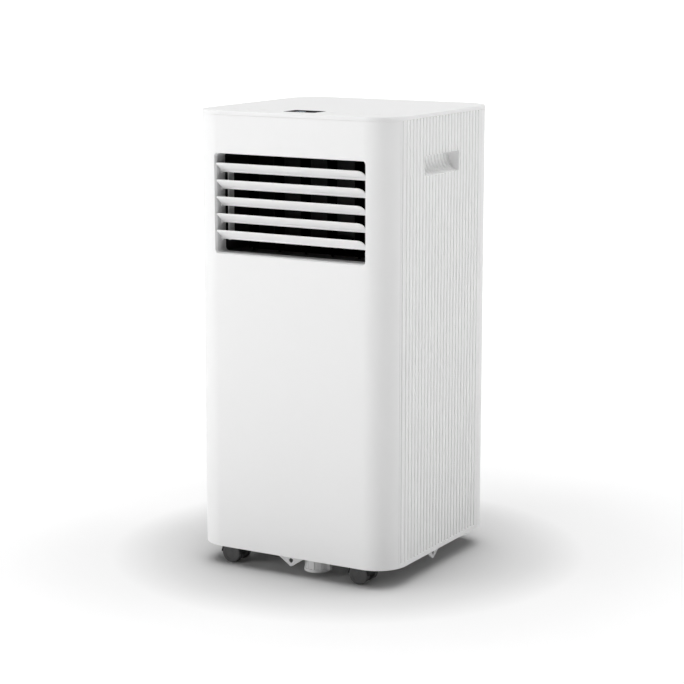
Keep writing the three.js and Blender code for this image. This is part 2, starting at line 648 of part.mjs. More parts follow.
// One louvre about its own pivot axis: blade, barrel, pins and crank.
function louvreSolid(pinLeft) {
  const left = -DUCT_SIDE + LOUVRE_LEFT_ROOM;
  const right = DUCT_SIDE - LOUVRE_RIGHT_ROOM;
  const wallSide = DUCT_SIDE + FRAME_WALL;
  const blade = new THREE.Shape();
  blade.moveTo(left, -LOUVRE_TAIL);
  blade.lineTo(right, -LOUVRE_TAIL);
  const [roundRight, roundLeft] = [LOUVRE_ROUND, LOUVRE_LEFT_ROUND];
  blade.absarc(right - roundRight, LOUVRE_REACH - roundRight, roundRight, 0, Math.PI / 2);
  blade.absarc(left + roundLeft, LOUVRE_REACH - roundLeft, roundLeft, Math.PI / 2, Math.PI);
  blade.closePath();
  const options = { depth: LOUVRE_THICK, bevelEnabled: false, curveSegments: SMALL_ARC };
  const sheet = new THREE.ExtrudeGeometry(blade, options);
  sheet.translate(0, 0, -LOUVRE_THICK / 2).scale(1, -1, -1).rotateX(-slope);
  const barrel = rod('x', BARREL_RADIUS, left, right, 0, 0, PIN_SIDES);
  const pins = rod('x', PIVOT_RADIUS, -wallSide - pinLeft, wallSide, 0, 0, PIN_SIDES);
  const arm = block([CRANK_X, CRANK_X + CRANK_THICK], [0, CRANK_REACH + CRANK_PIN * 1.5],
    [-CRANK_HALF, CRANK_HALF]);
  const pinEnd = CRANK_X + CRANK_THICK + GAP + LINK_THICK;
  const crankPin = rod('x', CRANK_PIN, CRANK_X, pinEnd, CRANK_REACH, 0, PIN_SIDES);
  return join(solid(sheet), barrel, pins, arm, crankPin);
}

function buildLouvres() {
  for (let i = 0; i < LOUVRE_COUNT; i += 1) {
    const pinLeft = i === DRIVEN_LOUVRE ? LOUVRE_MOTOR_SOCKET : 0;
    addPiece(`louvre_${i + 1}`, louvreSolid(pinLeft), whitePlastic, [0, LOUVRE_Y, louvreZ(i)]);
  }
  const barY = LOUVRE_Y + CRANK_REACH;
  const barX = CRANK_X + CRANK_THICK + GAP;
  const outline = roundedRectangle([barY - LINK_WIDTH / 2, barY + LINK_WIDTH / 2],
    [louvreZ(LOUVRE_COUNT - 1) - LINK_WIDTH, louvreZ(0) + LINK_WIDTH], LINK_ROUND);
  const bar = riseX(outline, barX, barX + LINK_THICK);
  const holes = Array.from({ length: LOUVRE_COUNT }, (_, i) =>
    rod('x', CRANK_PIN + PIVOT_PLAY, -SIDE, SIDE, barY, louvreZ(i), PIN_SIDES));
  addPiece('louvre_link', cut(bar, ...holes), lightPlastic);
}

// The motor sits beside the frame and fills the front corner up to a clearance.
function buildLouvreMotor() {
  const z = louvreZ(DRIVEN_LOUVRE);
  const end = -DUCT_SIDE - FRAME_WALL - GAP;
  const frontOfCan = LOUVRE_Y - LOUVRE_MOTOR_RADIUS;
  const cornerX = SIDE - FRONT_RADIUS
    + Math.sqrt((FRONT_RADIUS - WALL) ** 2 - (FRONT + FRONT_RADIUS - frontOfCan) ** 2);
  const can = rod('x', LOUVRE_MOTOR_RADIUS, LOUVRE_MOTOR_ROOM - cornerX, end, LOUVRE_Y, z);
  const socket = rod('x', PIVOT_HOLE, end - LOUVRE_MOTOR_SOCKET, end + 1, LOUVRE_Y, z, PIN_SIDES);
  addPiece('louvre_motor', cut(can, socket), blackPlastic);
}

// ---- Vertical vanes -----------------------------------------------------------------------

const VANE_Y = FRONT + VANE_BACK;
const vaneX = (i) => (i - (VANE_COUNT - 1) / 2) * VANE_PITCH;

function buildVanes() {
  const low = DUCT_LOW + VANE_FOOT;
  const high = DUCT_HIGH - VANE_HEAD;
  const blade = block([-VANE_THICK / 2, VANE_THICK / 2], [-VANE_CHORD / 2, VANE_CHORD / 2],
    [low, high]);
  const pivotRun = [DUCT_LOW - SCROLL_WALL, DUCT_HIGH + SCROLL_WALL];
  const pivot = rod('z', PIVOT_RADIUS, ...pivotRun, 0, 0, PIN_SIDES);
  const linkPin = rod('z', CRANK_PIN, DUCT_LOW + VANE_LINK_LIFT, low, 0, VANE_CRANK, PIN_SIDES);
  const vane = join(blade, pivot, linkPin);
  for (let i = 0; i < VANE_COUNT; i += 1) {
    addPiece(`vane_${i + 1}`, vane, blackPlastic, [vaneX(i), VANE_Y, 0]);
  }
  const reach = vaneX(VANE_COUNT - 1) + LINK_WIDTH;
  const barY = VANE_Y + VANE_CRANK;
  const barLow = DUCT_LOW + VANE_LINK_LIFT;
  const bar = block([-reach, reach], [barY - LINK_WIDTH / 2, barY + LINK_WIDTH / 2],
    [barLow, barLow + LINK_THICK]);
  const holes = Array.from({ length: VANE_COUNT }, (_, i) =>
    rod('z', CRANK_PIN + PIVOT_PLAY, 0, FAR, vaneX(i), barY, PIN_SIDES));
  addPiece('vane_link', cut(bar, ...holes), blackPlastic);
}

// ---- Blowers ------------------------------------------------------------------------------

// Spiral outline round a fan's axis; it opens upwards on the left.
function scrollOutline(x, z, inset) {
  const shape = new THREE.Shape();
  for (let i = 0; i <= SCROLL_STEPS; i += 1) {
    const share = i / SCROLL_STEPS;
    const turn = Math.PI - share * Math.PI * 2;
    const radius = SCROLL_START + SCROLL_SPREAD * share - inset;
    const point = [x + radius * Math.cos(turn), z + radius * Math.sin(turn)];
    if (i === 0) shape.moveTo(...point);
    else shape.lineTo(...point);
  }
  shape.closePath();
  return shape;
}

// A drum of blades between a closed plate at the front and a ring at the rear.
function fanWheel(x, z, rear) {
  const front = rear - FAN_LENGTH;
  const hubEnd = front + FAN_LENGTH / 2;
  const plate = rod('y', FAN_RADIUS, front, front + FAN_RING, x, z);
  const ring = cut(rod('y', FAN_RADIUS, rear - FAN_RING, rear, x, z),
    rod('y', FAN_RADIUS - BLADE_LENGTH, rear - FAN_RING - 1, rear + 1, x, z));
  const hub = rod('y', FAN_HUB, front, hubEnd, x, z, SMALL_SIDES);
  let wheel = join(plate, ring, hub);
  const middle = FAN_RADIUS - BLADE_LENGTH / 2;
  for (let i = 0; i < FAN_BLADES; i += 1) {
    const turn = (i / FAN_BLADES) * Math.PI * 2;
    const blade = new THREE.BoxGeometry(BLADE_CHORD, FAN_LENGTH - FAN_RING, BLADE_THICK);
    blade.rotateY(THREE.MathUtils.degToRad(BLADE_TURN)).translate(middle, 0, 0).rotateY(turn);
    wheel = wheel.add(solid(blade.translate(x, (front + rear) / 2, z)));
  }
  const bore = rod('y', SHAFT_RADIUS + SHAFT_PLAY, front - 1, hubEnd - FAN_RING, x, z, SHAFT_SIDES);
  return cut(wheel, bore);
}

// The shaft stops short of the bore's closed end.
const shaftEnd = (fanRear) => fanRear - FAN_LENGTH / 2 - FAN_RING - 2;

// A motor in front of a scroll, its shaft reaching into the fan's hub.
function fanMotor(x, z, rear, end) {
  const front = rear - MOTOR_LENGTH;
  const can = rod('y', MOTOR_RADIUS, front, rear, x, z, MOTOR_SIDES);
  const cap = rod('y', MOTOR_CAP_RADIUS, front - MOTOR_CAP_REACH, front + 1, x, z, MOTOR_SIDES);
  return join(can, cap, rod('y', SHAFT_RADIUS, rear - 1, end, x, z, SHAFT_SIDES));
}

// The inlet in a scroll's rear wall and the hole for the shaft in its front wall.
function scrollHoles(x, z, front, rear) {
  return [
    rod('y', FAN_EYE, rear - BEYOND, rear + 1, x, z),
    rod('y', SHAFT_RADIUS + 2, front - 1, front + BEYOND, x, z, SHAFT_SIDES),
  ];
}

function buildUpperBlower() {
  const z = UPPER_AXIS_Z;
  const front = FRONT + UPPER_FAN_BACK;
  const ductFront = FRAME_REAR + GAP;
  const rear = UPPER_SCROLL_REAR;
  const side = DUCT_SIDE + FRAME_WALL;
  const outerDuct = block([-side, side], [ductFront, rear],
    [DUCT_LOW - SCROLL_WALL, DUCT_HIGH + SCROLL_WALL]);
  const innerDuct = block([-DUCT_SIDE, DUCT_SIDE], [ductFront - 1, rear - SCROLL_WALL],
    [DUCT_LOW, DUCT_HIGH]);
  const outer = riseY(scrollOutline(0, z, 0), front, rear);
  const inner = riseY(scrollOutline(0, z, SCROLL_WALL), front + SCROLL_WALL, rear - SCROLL_WALL);
  const vaneHoles = Array.from({ length: VANE_COUNT }, (_, i) =>
    rod('z', PIVOT_HOLE, DUCT_LOW - BEYOND, DUCT_HIGH + BEYOND, vaneX(i), VANE_Y, PIN_SIDES));
  const hollows = [innerDuct, inner, ...scrollHoles(0, z, front, rear), ...vaneHoles];
  addPiece('upper_scroll_housing', cut(join(outerDuct, outer), ...hollows), foam);
  const fanRear = rear - SCROLL_WALL - UPPER_FAN_ROOM;
  addPiece('upper_fan_wheel', fanWheel(0, z, fanRear), blackPlastic);
  addPiece('upper_fan_motor', fanMotor(0, z, front - GAP, shaftEnd(fanRear)), steel);
}

function buildLowerBlower() {
  const x = LOWER_FAN_X;
  const z = LOWER_AXIS_Z;
  const front = FRONT + LOWER_FAN_BACK;
  const rear = LOWER_SCROLL_REAR;
  const ductFront = FRONT + DECK_STEP + DECK_THICK + EXHAUST_DECK_ROOM;
  const ductRear = REAR_INNER - GAP;
  const [half, inside] = [EXHAUST_HALF, EXHAUST_HALF - SCROLL_WALL];
  const outerDuct = block([-half, half], [ductFront, ductRear], [z, EXHAUST_Z + half]);
  const innerDuct = block([-inside, inside], [ductFront + SCROLL_WALL, ductRear - SCROLL_WALL],
    [EXHAUST_Z - inside, EXHAUST_Z + inside]);
  const behind = block([-FAR, FAR], [rear, FAR], [0, EXHAUST_Z - half]);
  const throat = block([-inside, inside], [ductFront + SCROLL_WALL, rear - SCROLL_WALL],
    [z, EXHAUST_Z]);
  const outer = riseY(scrollOutline(x, z, 0), front, rear);
  const inner = riseY(scrollOutline(x, z, SCROLL_WALL), front + SCROLL_WALL, rear - SCROLL_WALL);
  const mouth = rod('y', COLLAR_RADIUS - COLLAR_WALL, ductRear - BEYOND, REAR, 0, EXHAUST_Z,
    COLLAR_SIDES);
  const hollows = [innerDuct, throat, inner, mouth, ...scrollHoles(x, z, front, rear)];
  addPiece('lower_scroll_housing', cut(join(cut(outerDuct, behind), outer), ...hollows), foam);
  const fanRear = rear - SCROLL_WALL - LOWER_FAN_ROOM;
  addPiece('lower_fan_wheel', fanWheel(x, z, fanRear), blackPlastic);
  addPiece('lower_fan_motor', fanMotor(x, z, front - GAP, shaftEnd(fanRear)), steel);
}

function buildExhaustCollar() {
  const start = REAR + GAP;
  const end = REAR + COLLAR_REACH;
  const ring = (radius, from, to) => rod('y', radius, from, to, 0, EXHAUST_Z, COLLAR_SIDES);
  const tube = ring(COLLAR_RADIUS, start, end);
  const flange = ring(COLLAR_FLANGE_RADIUS, start, start + COLLAR_FLANGE_THICK);
  const bore = ring(COLLAR_RADIUS - COLLAR_WALL, start - 1, end + 1);
  addPiece('exhaust_collar', cut(join(tube, flange), bore), lightPlastic);
}

// ---- Heat exchangers, compressor and pipes ------------------------------------------------

// A fin block between two end plates, with return bends on its right end.
function coil(y, z, height) {
  const half = INNER - COIL_SIDE_ROOM;
  const middle = y + COIL_DEPTH / 2;
  const finBlock = block([-half, half], [y, y + COIL_DEPTH], [z, z + height]);
  const plateRun = [y - COIL_PLATE, y + COIL_DEPTH + COIL_PLATE];
  const plates = [-half, half - COIL_PLATE].map((x) =>
    block([x, x + COIL_PLATE], plateRun, [z, z + height + COIL_PLATE]));
  const radius = BEND_SPAN / 2;
  const bends = [];
  const count = Math.floor(height / (BEND_SPAN * 2));
  for (let i = 0; i < count; i += 1) {
    const bendZ = z + BEND_SPAN + i * BEND_SPAN * 2;
    const arc = [];
    for (let k = 0; k <= BEND_POINTS; k += 1) {
      const turn = -Math.PI / 2 + (k / BEND_POINTS) * Math.PI;
      arc.push([half - 1 + radius * Math.cos(turn), middle, bendZ + radius * Math.sin(turn)]);
    }
    bends.push(pipe(arc, BEND_RADIUS, BEND_STEPS));
  }
  return join(finBlock, ...plates, ...bends);
}

function buildCoils() {
  addPiece('evaporator', coil(EVAPORATOR_FRONT, EVAPORATOR_Z, EVAPORATOR_HEIGHT), fins);
  addPiece('condenser', coil(CONDENSER_FRONT, CONDENSER_Z, CONDENSER_HEIGHT), fins);
}

function buildDeck() {
  const side = INNER - GAP;
  const step = FRONT + DECK_STEP;
  const sheet = (inset, z) => riseZ(casingOutline(inset), z, z + DECK_THICK, HIDDEN_ARC);
  const frontSheet = sheet(WALL + GAP * 2, DECK_FRONT_Z)
    .intersect(block([-side, side], [-FAR, step + DECK_THICK], [0, FAR]));
  const riser = block([-side, side], [step, step + DECK_THICK],
    [DECK_FRONT_Z, DECK_REAR_Z + DECK_THICK]);
  const rearSheet = sheet(WALL + GAP + DECK_THICK, DECK_REAR_Z)
    .intersect(block([-side, side], [step, FAR], [0, FAR]));
  const pipeWay = block([-SIDE, -SIDE + DECK_NOTCH], [COMPRESSOR_Y, FAR], [0, FAR]);
  addPiece('partition_deck', cut(join(frontSheet, riser, rearSheet), pipeWay), foam);
}

function buildCompressor() {
  const z = TRAY_TOP + GAP;
  const r = COMPRESSOR_RADIUS;
  const h = COMPRESSOR_HEIGHT;
  // The can's profile: a domed top and bottom about a straight wall.
  const profile = [
    [0, FOOT_HEIGHT], [r * 0.8, FOOT_HEIGHT], [r, 20],
    [r, h - 26], [r * 0.82, h - 9], [r * 0.4, h - 1], [0, h],
  ];
  const can = new THREE.LatheGeometry(profile.map((p) => new THREE.Vector2(...p)), CAN_SIDES);
  // A three-cornered foot plate on three rubber feet.
  const plate = new THREE.CylinderGeometry(r * 0.95, r * 0.95, FOOT_PLATE, 3);
  plate.rotateX(Math.PI / 2).translate(0, 0, FOOT_HEIGHT - FOOT_PLATE / 4);
  const feet = [0, 1, 2].map((i) => {
    const turn = Math.PI / 2 + (i * Math.PI * 2) / 3;
    const reach = r * 0.7;
    return rod('z', FOOT_RADIUS, 0, FOOT_HEIGHT, reach * Math.cos(turn), reach * Math.sin(turn), PIN_SIDES);
  });
  const reach = r + ACCUMULATOR_REACH;
  const accumulator = rod('z', ACCUMULATOR_RADIUS, ACCUMULATOR_LOW, ACCUMULATOR_TOP, reach, 0, CAN_SIDES);
  const strap = block([r - STRAP_HALF, reach], [-STRAP_HALF, STRAP_HALF],
    [h / 2 - STRAP_HALF, h / 2 + STRAP_HALF]);
  const body = join(solid(can.rotateX(Math.PI / 2)), solid(plate), ...feet, accumulator, strap);
  addPiece('compressor', body, blackEnamel, [COMPRESSOR_X, COMPRESSOR_Y, z]);
}

function buildPipes() {
  const corridor = -INNER + DECK_NOTCH / 2 - PIPE_RADIUS;
  const coilEnd = -INNER + COIL_SIDE_ROOM - GAP * 2;
  const straight = coilEnd - PIPE_STRAIGHT;
  const evaporatorY = EVAPORATOR_FRONT + COIL_DEPTH / 2;
  const condenserY = CONDENSER_FRONT + COIL_DEPTH / 2;
  const condenserTop = CONDENSER_Z + CONDENSER_HEIGHT - 20;
  const top = COMPRESSOR_TOP + GAP;
  const discharge = [
    [COMPRESSOR_X, COMPRESSOR_Y, top],
    [COMPRESSOR_X, COMPRESSOR_Y, top + PIPE_STRAIGHT],
    [COMPRESSOR_X - 20, COMPRESSOR_Y + 12, top + 16],
    [corridor, condenserY - 60, condenserTop + 10],
    [corridor, condenserY - 12, condenserTop],
    [straight, condenserY, condenserTop],
    [coilEnd, condenserY, condenserTop],
  ];
  addPiece('discharge_pipe', pipe(discharge, PIPE_RADIUS, DISCHARGE_STEPS), copper);
  const accumulatorX = COMPRESSOR_X + COMPRESSOR_RADIUS + ACCUMULATOR_REACH;
  const accumulatorTop = TRAY_TOP + ACCUMULATOR_TOP + GAP * 2;
  const suction = [
    [accumulatorX, COMPRESSOR_Y, accumulatorTop],
    [accumulatorX, COMPRESSOR_Y, accumulatorTop + PIPE_STRAIGHT],
    [accumulatorX, COMPRESSOR_Y + 8, COMPRESSOR_TOP],
    [corridor + 8, COMPRESSOR_Y + 60, DECK_FRONT_Z - 24],
    [corridor, FRONT + DECK_STEP, DECK_FRONT_Z + 30],
    [corridor, evaporatorY - 20, DECK_REAR_Z - 10],
    [corridor, evaporatorY - 4, EVAPORATOR_Z + 30],
    [straight, evaporatorY, EVAPORATOR_Z + 40],
    [coilEnd, evaporatorY, EVAPORATOR_Z + 40],
  ];
  addPiece('suction_pipe', pipe(suction, PIPE_RADIUS, SUCTION_STEPS), copper);
  const capillary = [
    [coilEnd, condenserY + 6, CONDENSER_Z + 20],
    [straight, condenserY + 6, CONDENSER_Z + 20],
    [corridor, condenserY + 14, CONDENSER_Z + 40],
    [corridor + 4, condenserY + 24, CONDENSER_Z + 110],
    [corridor, condenserY + 22, EXHAUST_Z],
    [corridor, evaporatorY + 12, DECK_REAR_Z + 30],
    [straight, evaporatorY + 8, EVAPORATOR_Z + 90],
    [coilEnd, evaporatorY + 8, EVAPORATOR_Z + 90],
  ];
  addPiece('capillary_pipe', pipe(capillary, CAPILLARY_RADIUS, SUCTION_STEPS, 4), copper);
}

// ---- Splash disc and electrics ------------------------------------------------------------

function buildSplashDisc() {
  const z = TRAY_BOTTOM + SPLASH_RISE;
  const front = CONDENSER_FRONT + COIL_DEPTH + COIL_PLATE + SPLASH_ROOM;
  const through = [front - 1, front + SPLASH_THICK + 1];
  const motorFront = front + SPLASH_THICK + SPLASH_SHAFT;
  const disc = rod('y', SPLASH_RADIUS, front, front + SPLASH_THICK, SPLASH_X, z, SPLASH_TEETH * 2);
  const notches = Array.from({ length: SPLASH_TEETH }, (_, i) => {
    const turn = (i / SPLASH_TEETH) * Math.PI * 2;
    const notchX = SPLASH_X + SPLASH_RADIUS * Math.cos(turn);
    const notchZ = z + SPLASH_RADIUS * Math.sin(turn);
    return rod('y', SPLASH_NOTCH, ...through, notchX, notchZ, PIN_SIDES);
  });
  const hole = rod('y', SPLASH_PIN + SHAFT_PLAY, ...through, SPLASH_X, z, SHAFT_SIDES);
  addPiece('splash_disc', cut(disc, hole, ...notches), blackPlastic);
  const can = rod('y', SPLASH_MOTOR_RADIUS, motorFront, motorFront + SPLASH_MOTOR_LENGTH, SPLASH_X, z);
  const pin = rod('y', SPLASH_PIN, front, motorFront + 1, SPLASH_X, z, SHAFT_SIDES);
  addPiece('splash_motor', join(can, pin), steel);
}

function buildElectrics() {
  const right = INNER - CONTROL_ROOM;
  const front = FRONT + FRONT_WRAP;
  const low = TRAY_TOP + CONTROL_LIFT;
  const high = low + CONTROL_HEIGHT;
  const box = block([right - CONTROL_WIDTH, right], [front, front + CONTROL_DEPTH], [low, high]);
  addPiece('control_box', box, lightPlastic);
  const capacitor = rod('z', CAPACITOR_RADIUS, high + GAP, high + GAP + CAPACITOR_HEIGHT,
    right - CONTROL_WIDTH / 2, front + CONTROL_DEPTH / 2);
  addPiece('run_capacitor', capacitor, steel);
  const z = TRAY_BOTTOM + GLAND_RISE;
  const flange = rod('y', GLAND_RADIUS + GLAND_FLANGE, REAR + GAP, REAR + GLAND_FLANGE, GLAND_X, z);
  const neck = rod('y', GLAND_RADIUS, REAR - GLAND_REACH, REAR + GLAND_REACH, GLAND_X, z);
  const bore = rod('y', GLAND_BORE, REAR - BEYOND, REAR + BEYOND, GLAND_X, z, SMALL_SIDES);
  addPiece('cable_gland', cut(join(flange, neck), bore), blackPlastic);
}

// ---- Base tray ----------------------------------------------------------------------------

// Triangular screw tab with a rounded tip, drawn upright about its own middle.
function tabOutline(top) {
  const tipZ = CASTER_LIFT - TAB_DROP + TAB_TIP;
  const shape = new THREE.Shape();
  shape.moveTo(-TAB_HALF, top);
  shape.lineTo(-TAB_HALF, CASTER_LIFT);
  shape.absarc(0, tipZ, TAB_TIP, Math.PI * 1.2, Math.PI * 1.8);
  shape.lineTo(TAB_HALF, CASTER_LIFT);
  shape.lineTo(TAB_HALF, top);
  shape.closePath();
  return shape;
}

function screwTab() {
  const plate = riseY(tabOutline(TRAY_BOTTOM + 1), 0, TAB_THICK);
  const holeZ = CASTER_LIFT - TAB_HOLE_DROP;
  return cut(plate, rod('y', TAB_HOLE, -1, TAB_THICK + 1, 0, holeZ, SMALL_SIDES));
}

const casterPlaces = {
  front_left: [-CASTER_X, FRONT + CASTER_INSET],
  front_right: [CASTER_X, FRONT + CASTER_INSET],
  rear_left: [-CASTER_X, REAR - CASTER_INSET],
  rear_right: [CASTER_X, REAR - CASTER_INSET],
};

function buildBaseTray() {
  const inset = WALL + GAP * 2;
  const plate = riseZ(casingOutline(inset), TRAY_BOTTOM, TRAY_TOP, HIDDEN_ARC);
  const rim = casingWall(inset, TRAY_WALL, TRAY_BOTTOM, TRAY_BOTTOM + TRAY_RIM, HIDDEN_ARC);
  const sockets = Object.values(casterPlaces).map(([x, y]) =>
    rod('z', SOCKET_RADIUS, TRAY_BOTTOM, TRAY_BOTTOM + SOCKET_HEIGHT, x, y, SMALL_SIDES));
  const tabY = FRONT + TAB_INSET;
  const tabX = SIDE - TAB_INSET;
  const sideY = FRONT + SIDE_TAB_BACK;
  const tabs = [
    screwTab().translate([FRONT_TAB_X, tabY, 0]),
    screwTab().translate([FRONT_TAB_X, REAR - TAB_INSET - TAB_THICK, 0]),
    screwTab().rotate([0, 0, 90]).translate([tabX, sideY, 0]),
    screwTab().rotate([0, 0, 90]).translate([TAB_THICK - tabX, sideY, 0]),
  ];
  const rails = [-tabX, tabX - TAB_THICK].map((x) =>
    block([x, x + TAB_THICK], [FRONT + RAIL_START, sideY], [CASTER_LIFT - RAIL_DROP, TRAY_BOTTOM + 1]));
  const sumpY = FRONT + SUMP_BACK;
  const sumpLow = CASTER_LIFT - SUMP_DROP;
  const sump = rod('z', SUMP_RADIUS, sumpLow, TRAY_BOTTOM + 1, SUMP_X, sumpY, 24);
  const sumpInside = rod('z', SUMP_RADIUS - SUMP_WALL, sumpLow + SUMP_WALL, TRAY_TOP + 1,
    SUMP_X, sumpY);
  const spoutX = SUMP_X + SUMP_RADIUS;
  const spout = block([spoutX - SUMP_WALL, spoutX + SPOUT_REACH],
    [sumpY - SPOUT_HALF, sumpY + SPOUT_HALF], [sumpLow + SPOUT_RISE, TRAY_BOTTOM + 1]);
  const drainZ = TRAY_BOTTOM + DRAIN_HEIGHT;
  const rimInside = REAR - inset - TRAY_WALL;
  const neckEnd = REAR + DRAIN_REACH;
  const drain = rod('y', DRAIN_RADIUS, rimInside, neckEnd, 0, drainZ);
  const drainBore = rod('y', DRAIN_BORE, rimInside - 1, neckEnd + 1, 0, drainZ);
  const boreTop = TRAY_BOTTOM + SOCKET_HEIGHT - SOCKET_CAP;
  const bores = Object.values(casterPlaces).map(([x, y]) =>
    rod('z', STEM_RADIUS + GAP, TRAY_BOTTOM - 1, boreTop, x, y, SHAFT_SIDES));
  const tray = join(plate, rim, ...sockets, ...tabs, ...rails, sump, spout, drain);
  addPiece('base_tray', cut(tray, sumpInside, ...bores, drainBore), lightPlastic);
  const headStart = neckEnd + GAP;
  const plug = rod('y', DRAIN_BORE - GAP, headStart - PLUG_LENGTH, headStart + 1, 0, drainZ);
  const head = rod('y', DRAIN_RADIUS + 1, headStart, headStart + PLUG_HEAD, 0, drainZ);
  addPiece('drain_plug', join(plug, head), blackPlastic);
}

// ---- Casters ------------------------------------------------------------------------------

const AXLE_Z = WHEEL_RADIUS;

function wheelPair() {
  const corner = WHEEL_RADIUS / Math.cos(Math.PI / WHEEL_FACES);
  const half = CASTER_WIDTH / 2;
  const wheel = (y0) => {
    const disc = new THREE.CylinderGeometry(corner, corner, WHEEL_WIDTH, WHEEL_FACES);
    disc.rotateY(Math.PI / WHEEL_FACES).translate(0, y0 + WHEEL_WIDTH / 2, 0);
    return solid(disc);
  };
  const axle = rod('y', AXLE_RADIUS, 1 - half, half - 1, 0, 0, SHAFT_SIDES);
  return join(wheel(-half), wheel(half - WHEEL_WIDTH), axle);
}

function casterHousing() {
  const half = CASTER_WIDTH / 2;
  const web = half - WHEEL_WIDTH - HOOD_CLEAR;
  const inner = HOOD_RADIUS - HOOD_WALL;
  const hood = rod('y', HOOD_RADIUS, -half, half, 0, 0, WHEEL_FACES);
  const centre = rod('y', HOOD_RADIUS * WEB_SHARE, -web, web, 0, 0, SMALL_SIDES);
  const upper = block([-FAR, FAR], [-FAR, FAR], [0, FAR]);
  const rooms = [[-half - 1, -web], [web, half + 1]].map(([from, to]) =>
    rod('y', inner, from, to, 0, 0, WHEEL_FACES));
  const stemTop = TRAY_BOTTOM + SOCKET_HEIGHT - SOCKET_CAP - STEM_END - AXLE_Z;
  const stem = rod('z', STEM_RADIUS, inner - HOOD_WALL, stemTop, CASTER_TRAIL, 0, SMALL_SIDES);
  const shape = join(cut(hood.intersect(upper), ...rooms), centre, stem);
  return cut(shape, rod('y', AXLE_RADIUS + GAP, -half, half, 0, 0, SHAFT_SIDES));
}

function buildCasters() {
  const housing = casterHousing();
  const wheels = wheelPair();
  for (const [place, [x, y]] of Object.entries(casterPlaces)) {
    const caster = new THREE.Group();
    caster.position.set(x - CASTER_TRAIL, y, AXLE_Z);
    airConditioner.add(caster);
    addPiece(`caster_housing_${place}`, housing, blackPlastic, [0, 0, 0], caster);
    addPiece(`caster_wheels_${place}`, wheels, greyPlastic, [0, 0, 0], caster);
  }
}

// ---- The whole object ---------------------------------------------------------------------

buildFrontPanel();
buildSidePanels();
buildRearPanel();
for (const [name, limits] of Object.entries(grilles)) {
  buildFilterGrille(name, limits);
}
buildTopCover();
buildKeys();
buildControlBoard();
buildOutletFrame();
buildLouvres();
buildLouvreMotor();
buildVanes();
buildUpperBlower();
buildLowerBlower();
buildExhaustCollar();
buildCoils();
buildDeck();
buildCompressor();
buildPipes();
buildSplashDisc();
buildElectrics();
buildBaseTray();
buildCasters();

export default airConditioner;
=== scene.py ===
"""Portable air conditioner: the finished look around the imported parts."""

import json
import math

import bmesh
import bpy
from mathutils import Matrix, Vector


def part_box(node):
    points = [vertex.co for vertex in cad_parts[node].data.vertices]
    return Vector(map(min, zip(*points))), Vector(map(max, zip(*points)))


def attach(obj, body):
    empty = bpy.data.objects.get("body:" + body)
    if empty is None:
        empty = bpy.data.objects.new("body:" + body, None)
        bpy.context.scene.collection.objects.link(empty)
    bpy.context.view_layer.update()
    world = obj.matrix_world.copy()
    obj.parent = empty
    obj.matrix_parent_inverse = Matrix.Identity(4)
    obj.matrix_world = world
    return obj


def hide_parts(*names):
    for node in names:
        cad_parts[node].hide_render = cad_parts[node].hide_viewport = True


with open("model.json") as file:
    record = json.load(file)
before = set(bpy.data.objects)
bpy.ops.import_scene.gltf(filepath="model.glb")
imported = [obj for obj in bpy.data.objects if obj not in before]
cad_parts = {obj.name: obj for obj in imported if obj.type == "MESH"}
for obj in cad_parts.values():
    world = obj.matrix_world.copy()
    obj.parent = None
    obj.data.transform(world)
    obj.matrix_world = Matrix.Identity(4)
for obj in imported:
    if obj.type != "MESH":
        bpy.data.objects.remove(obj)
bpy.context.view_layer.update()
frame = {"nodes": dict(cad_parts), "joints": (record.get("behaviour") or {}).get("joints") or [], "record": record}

bl_info = {
    "name": "Portable air conditioner",
    "version": (1, 0, 0),
    "blender": (4, 5, 0),
    "location": "3D View > Sidebar > Air conditioner",
    "description": "Builds the casing, outlet, grilles, casters and studio round the packed parts",
    "category": "Object",
}

# ---- Places, in millimetres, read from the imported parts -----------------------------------

MM = 0.001


def corners(node):
    """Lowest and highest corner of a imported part, in millimetres."""
    return [[round(value / MM, 3) for value in corner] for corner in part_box(node)]


def middle_behind(node):
    """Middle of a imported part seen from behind: its X and Z, in millimetres."""
    low, high = corners(node)
    return (low[0] + high[0]) / 2, (low[2] + high[2]) / 2


def joint_place(name):
    """Where a joint's axis passes, in millimetres."""
    joint = next(each for each in frame["joints"] if each["name"] == name)
    return [value / MM for value in joint["pos_m"]]


def record_colour(slot):
    """The colour that the record gives a material slot."""
    return next(each["base_color"] for each in frame["record"]["materials"] if each["slot"] == slot)


PANEL_LOW, PANEL_HIGH = corners("front_panel")
SEAM = 0.27              # how far a panel reaches into the joint beside it
FRONT_SEAM = 0.2         # the same for the front panel's ends
FRONT = PANEL_LOW[1]
SIDE = corners("right_side_panel")[1][0]
CASING_LOW = PANEL_LOW[2]
PANEL_TOP = PANEL_HIGH[2] + SEAM
REAR = corners("rear_panel")[1][1]
REAR_START = corners("rear_panel")[0][1] - SEAM
COVER_LOW, COVER_HIGH = corners("top_cover")
TOP = COVER_HIGH[2]
SIDE_START = corners("right_side_panel")[0][1] - SEAM
SIDE_END = corners("right_side_panel")[1][1] + SEAM

WALL = 2.6
FRONT_RADIUS = 48.0
REAR_RADIUS = 46.0
SKIRT = 6.0              # edge band of the top cover
CORNER_STEPS = 28        # facets of a quarter of the casing's outline
SOFT = 0.29              # share of a rounded edge where its middle point lies

OUTLET_SIDE = 129.5
OUTLET_LOW = 488.5
OUTLET_HIGH = 640.0
OUTLET_RADIUS = 6.0
OUTLET_RETURN = 5.5
OUTLET_EDGE = 0.9        # rounding of the opening's front edge
OUTLET_RIM = 1.8         # wall of the turned-in edge
DRAFT = 1.2              # how much narrower the duct is than the opening
DUCT_SIDE = OUTLET_SIDE - DRAFT

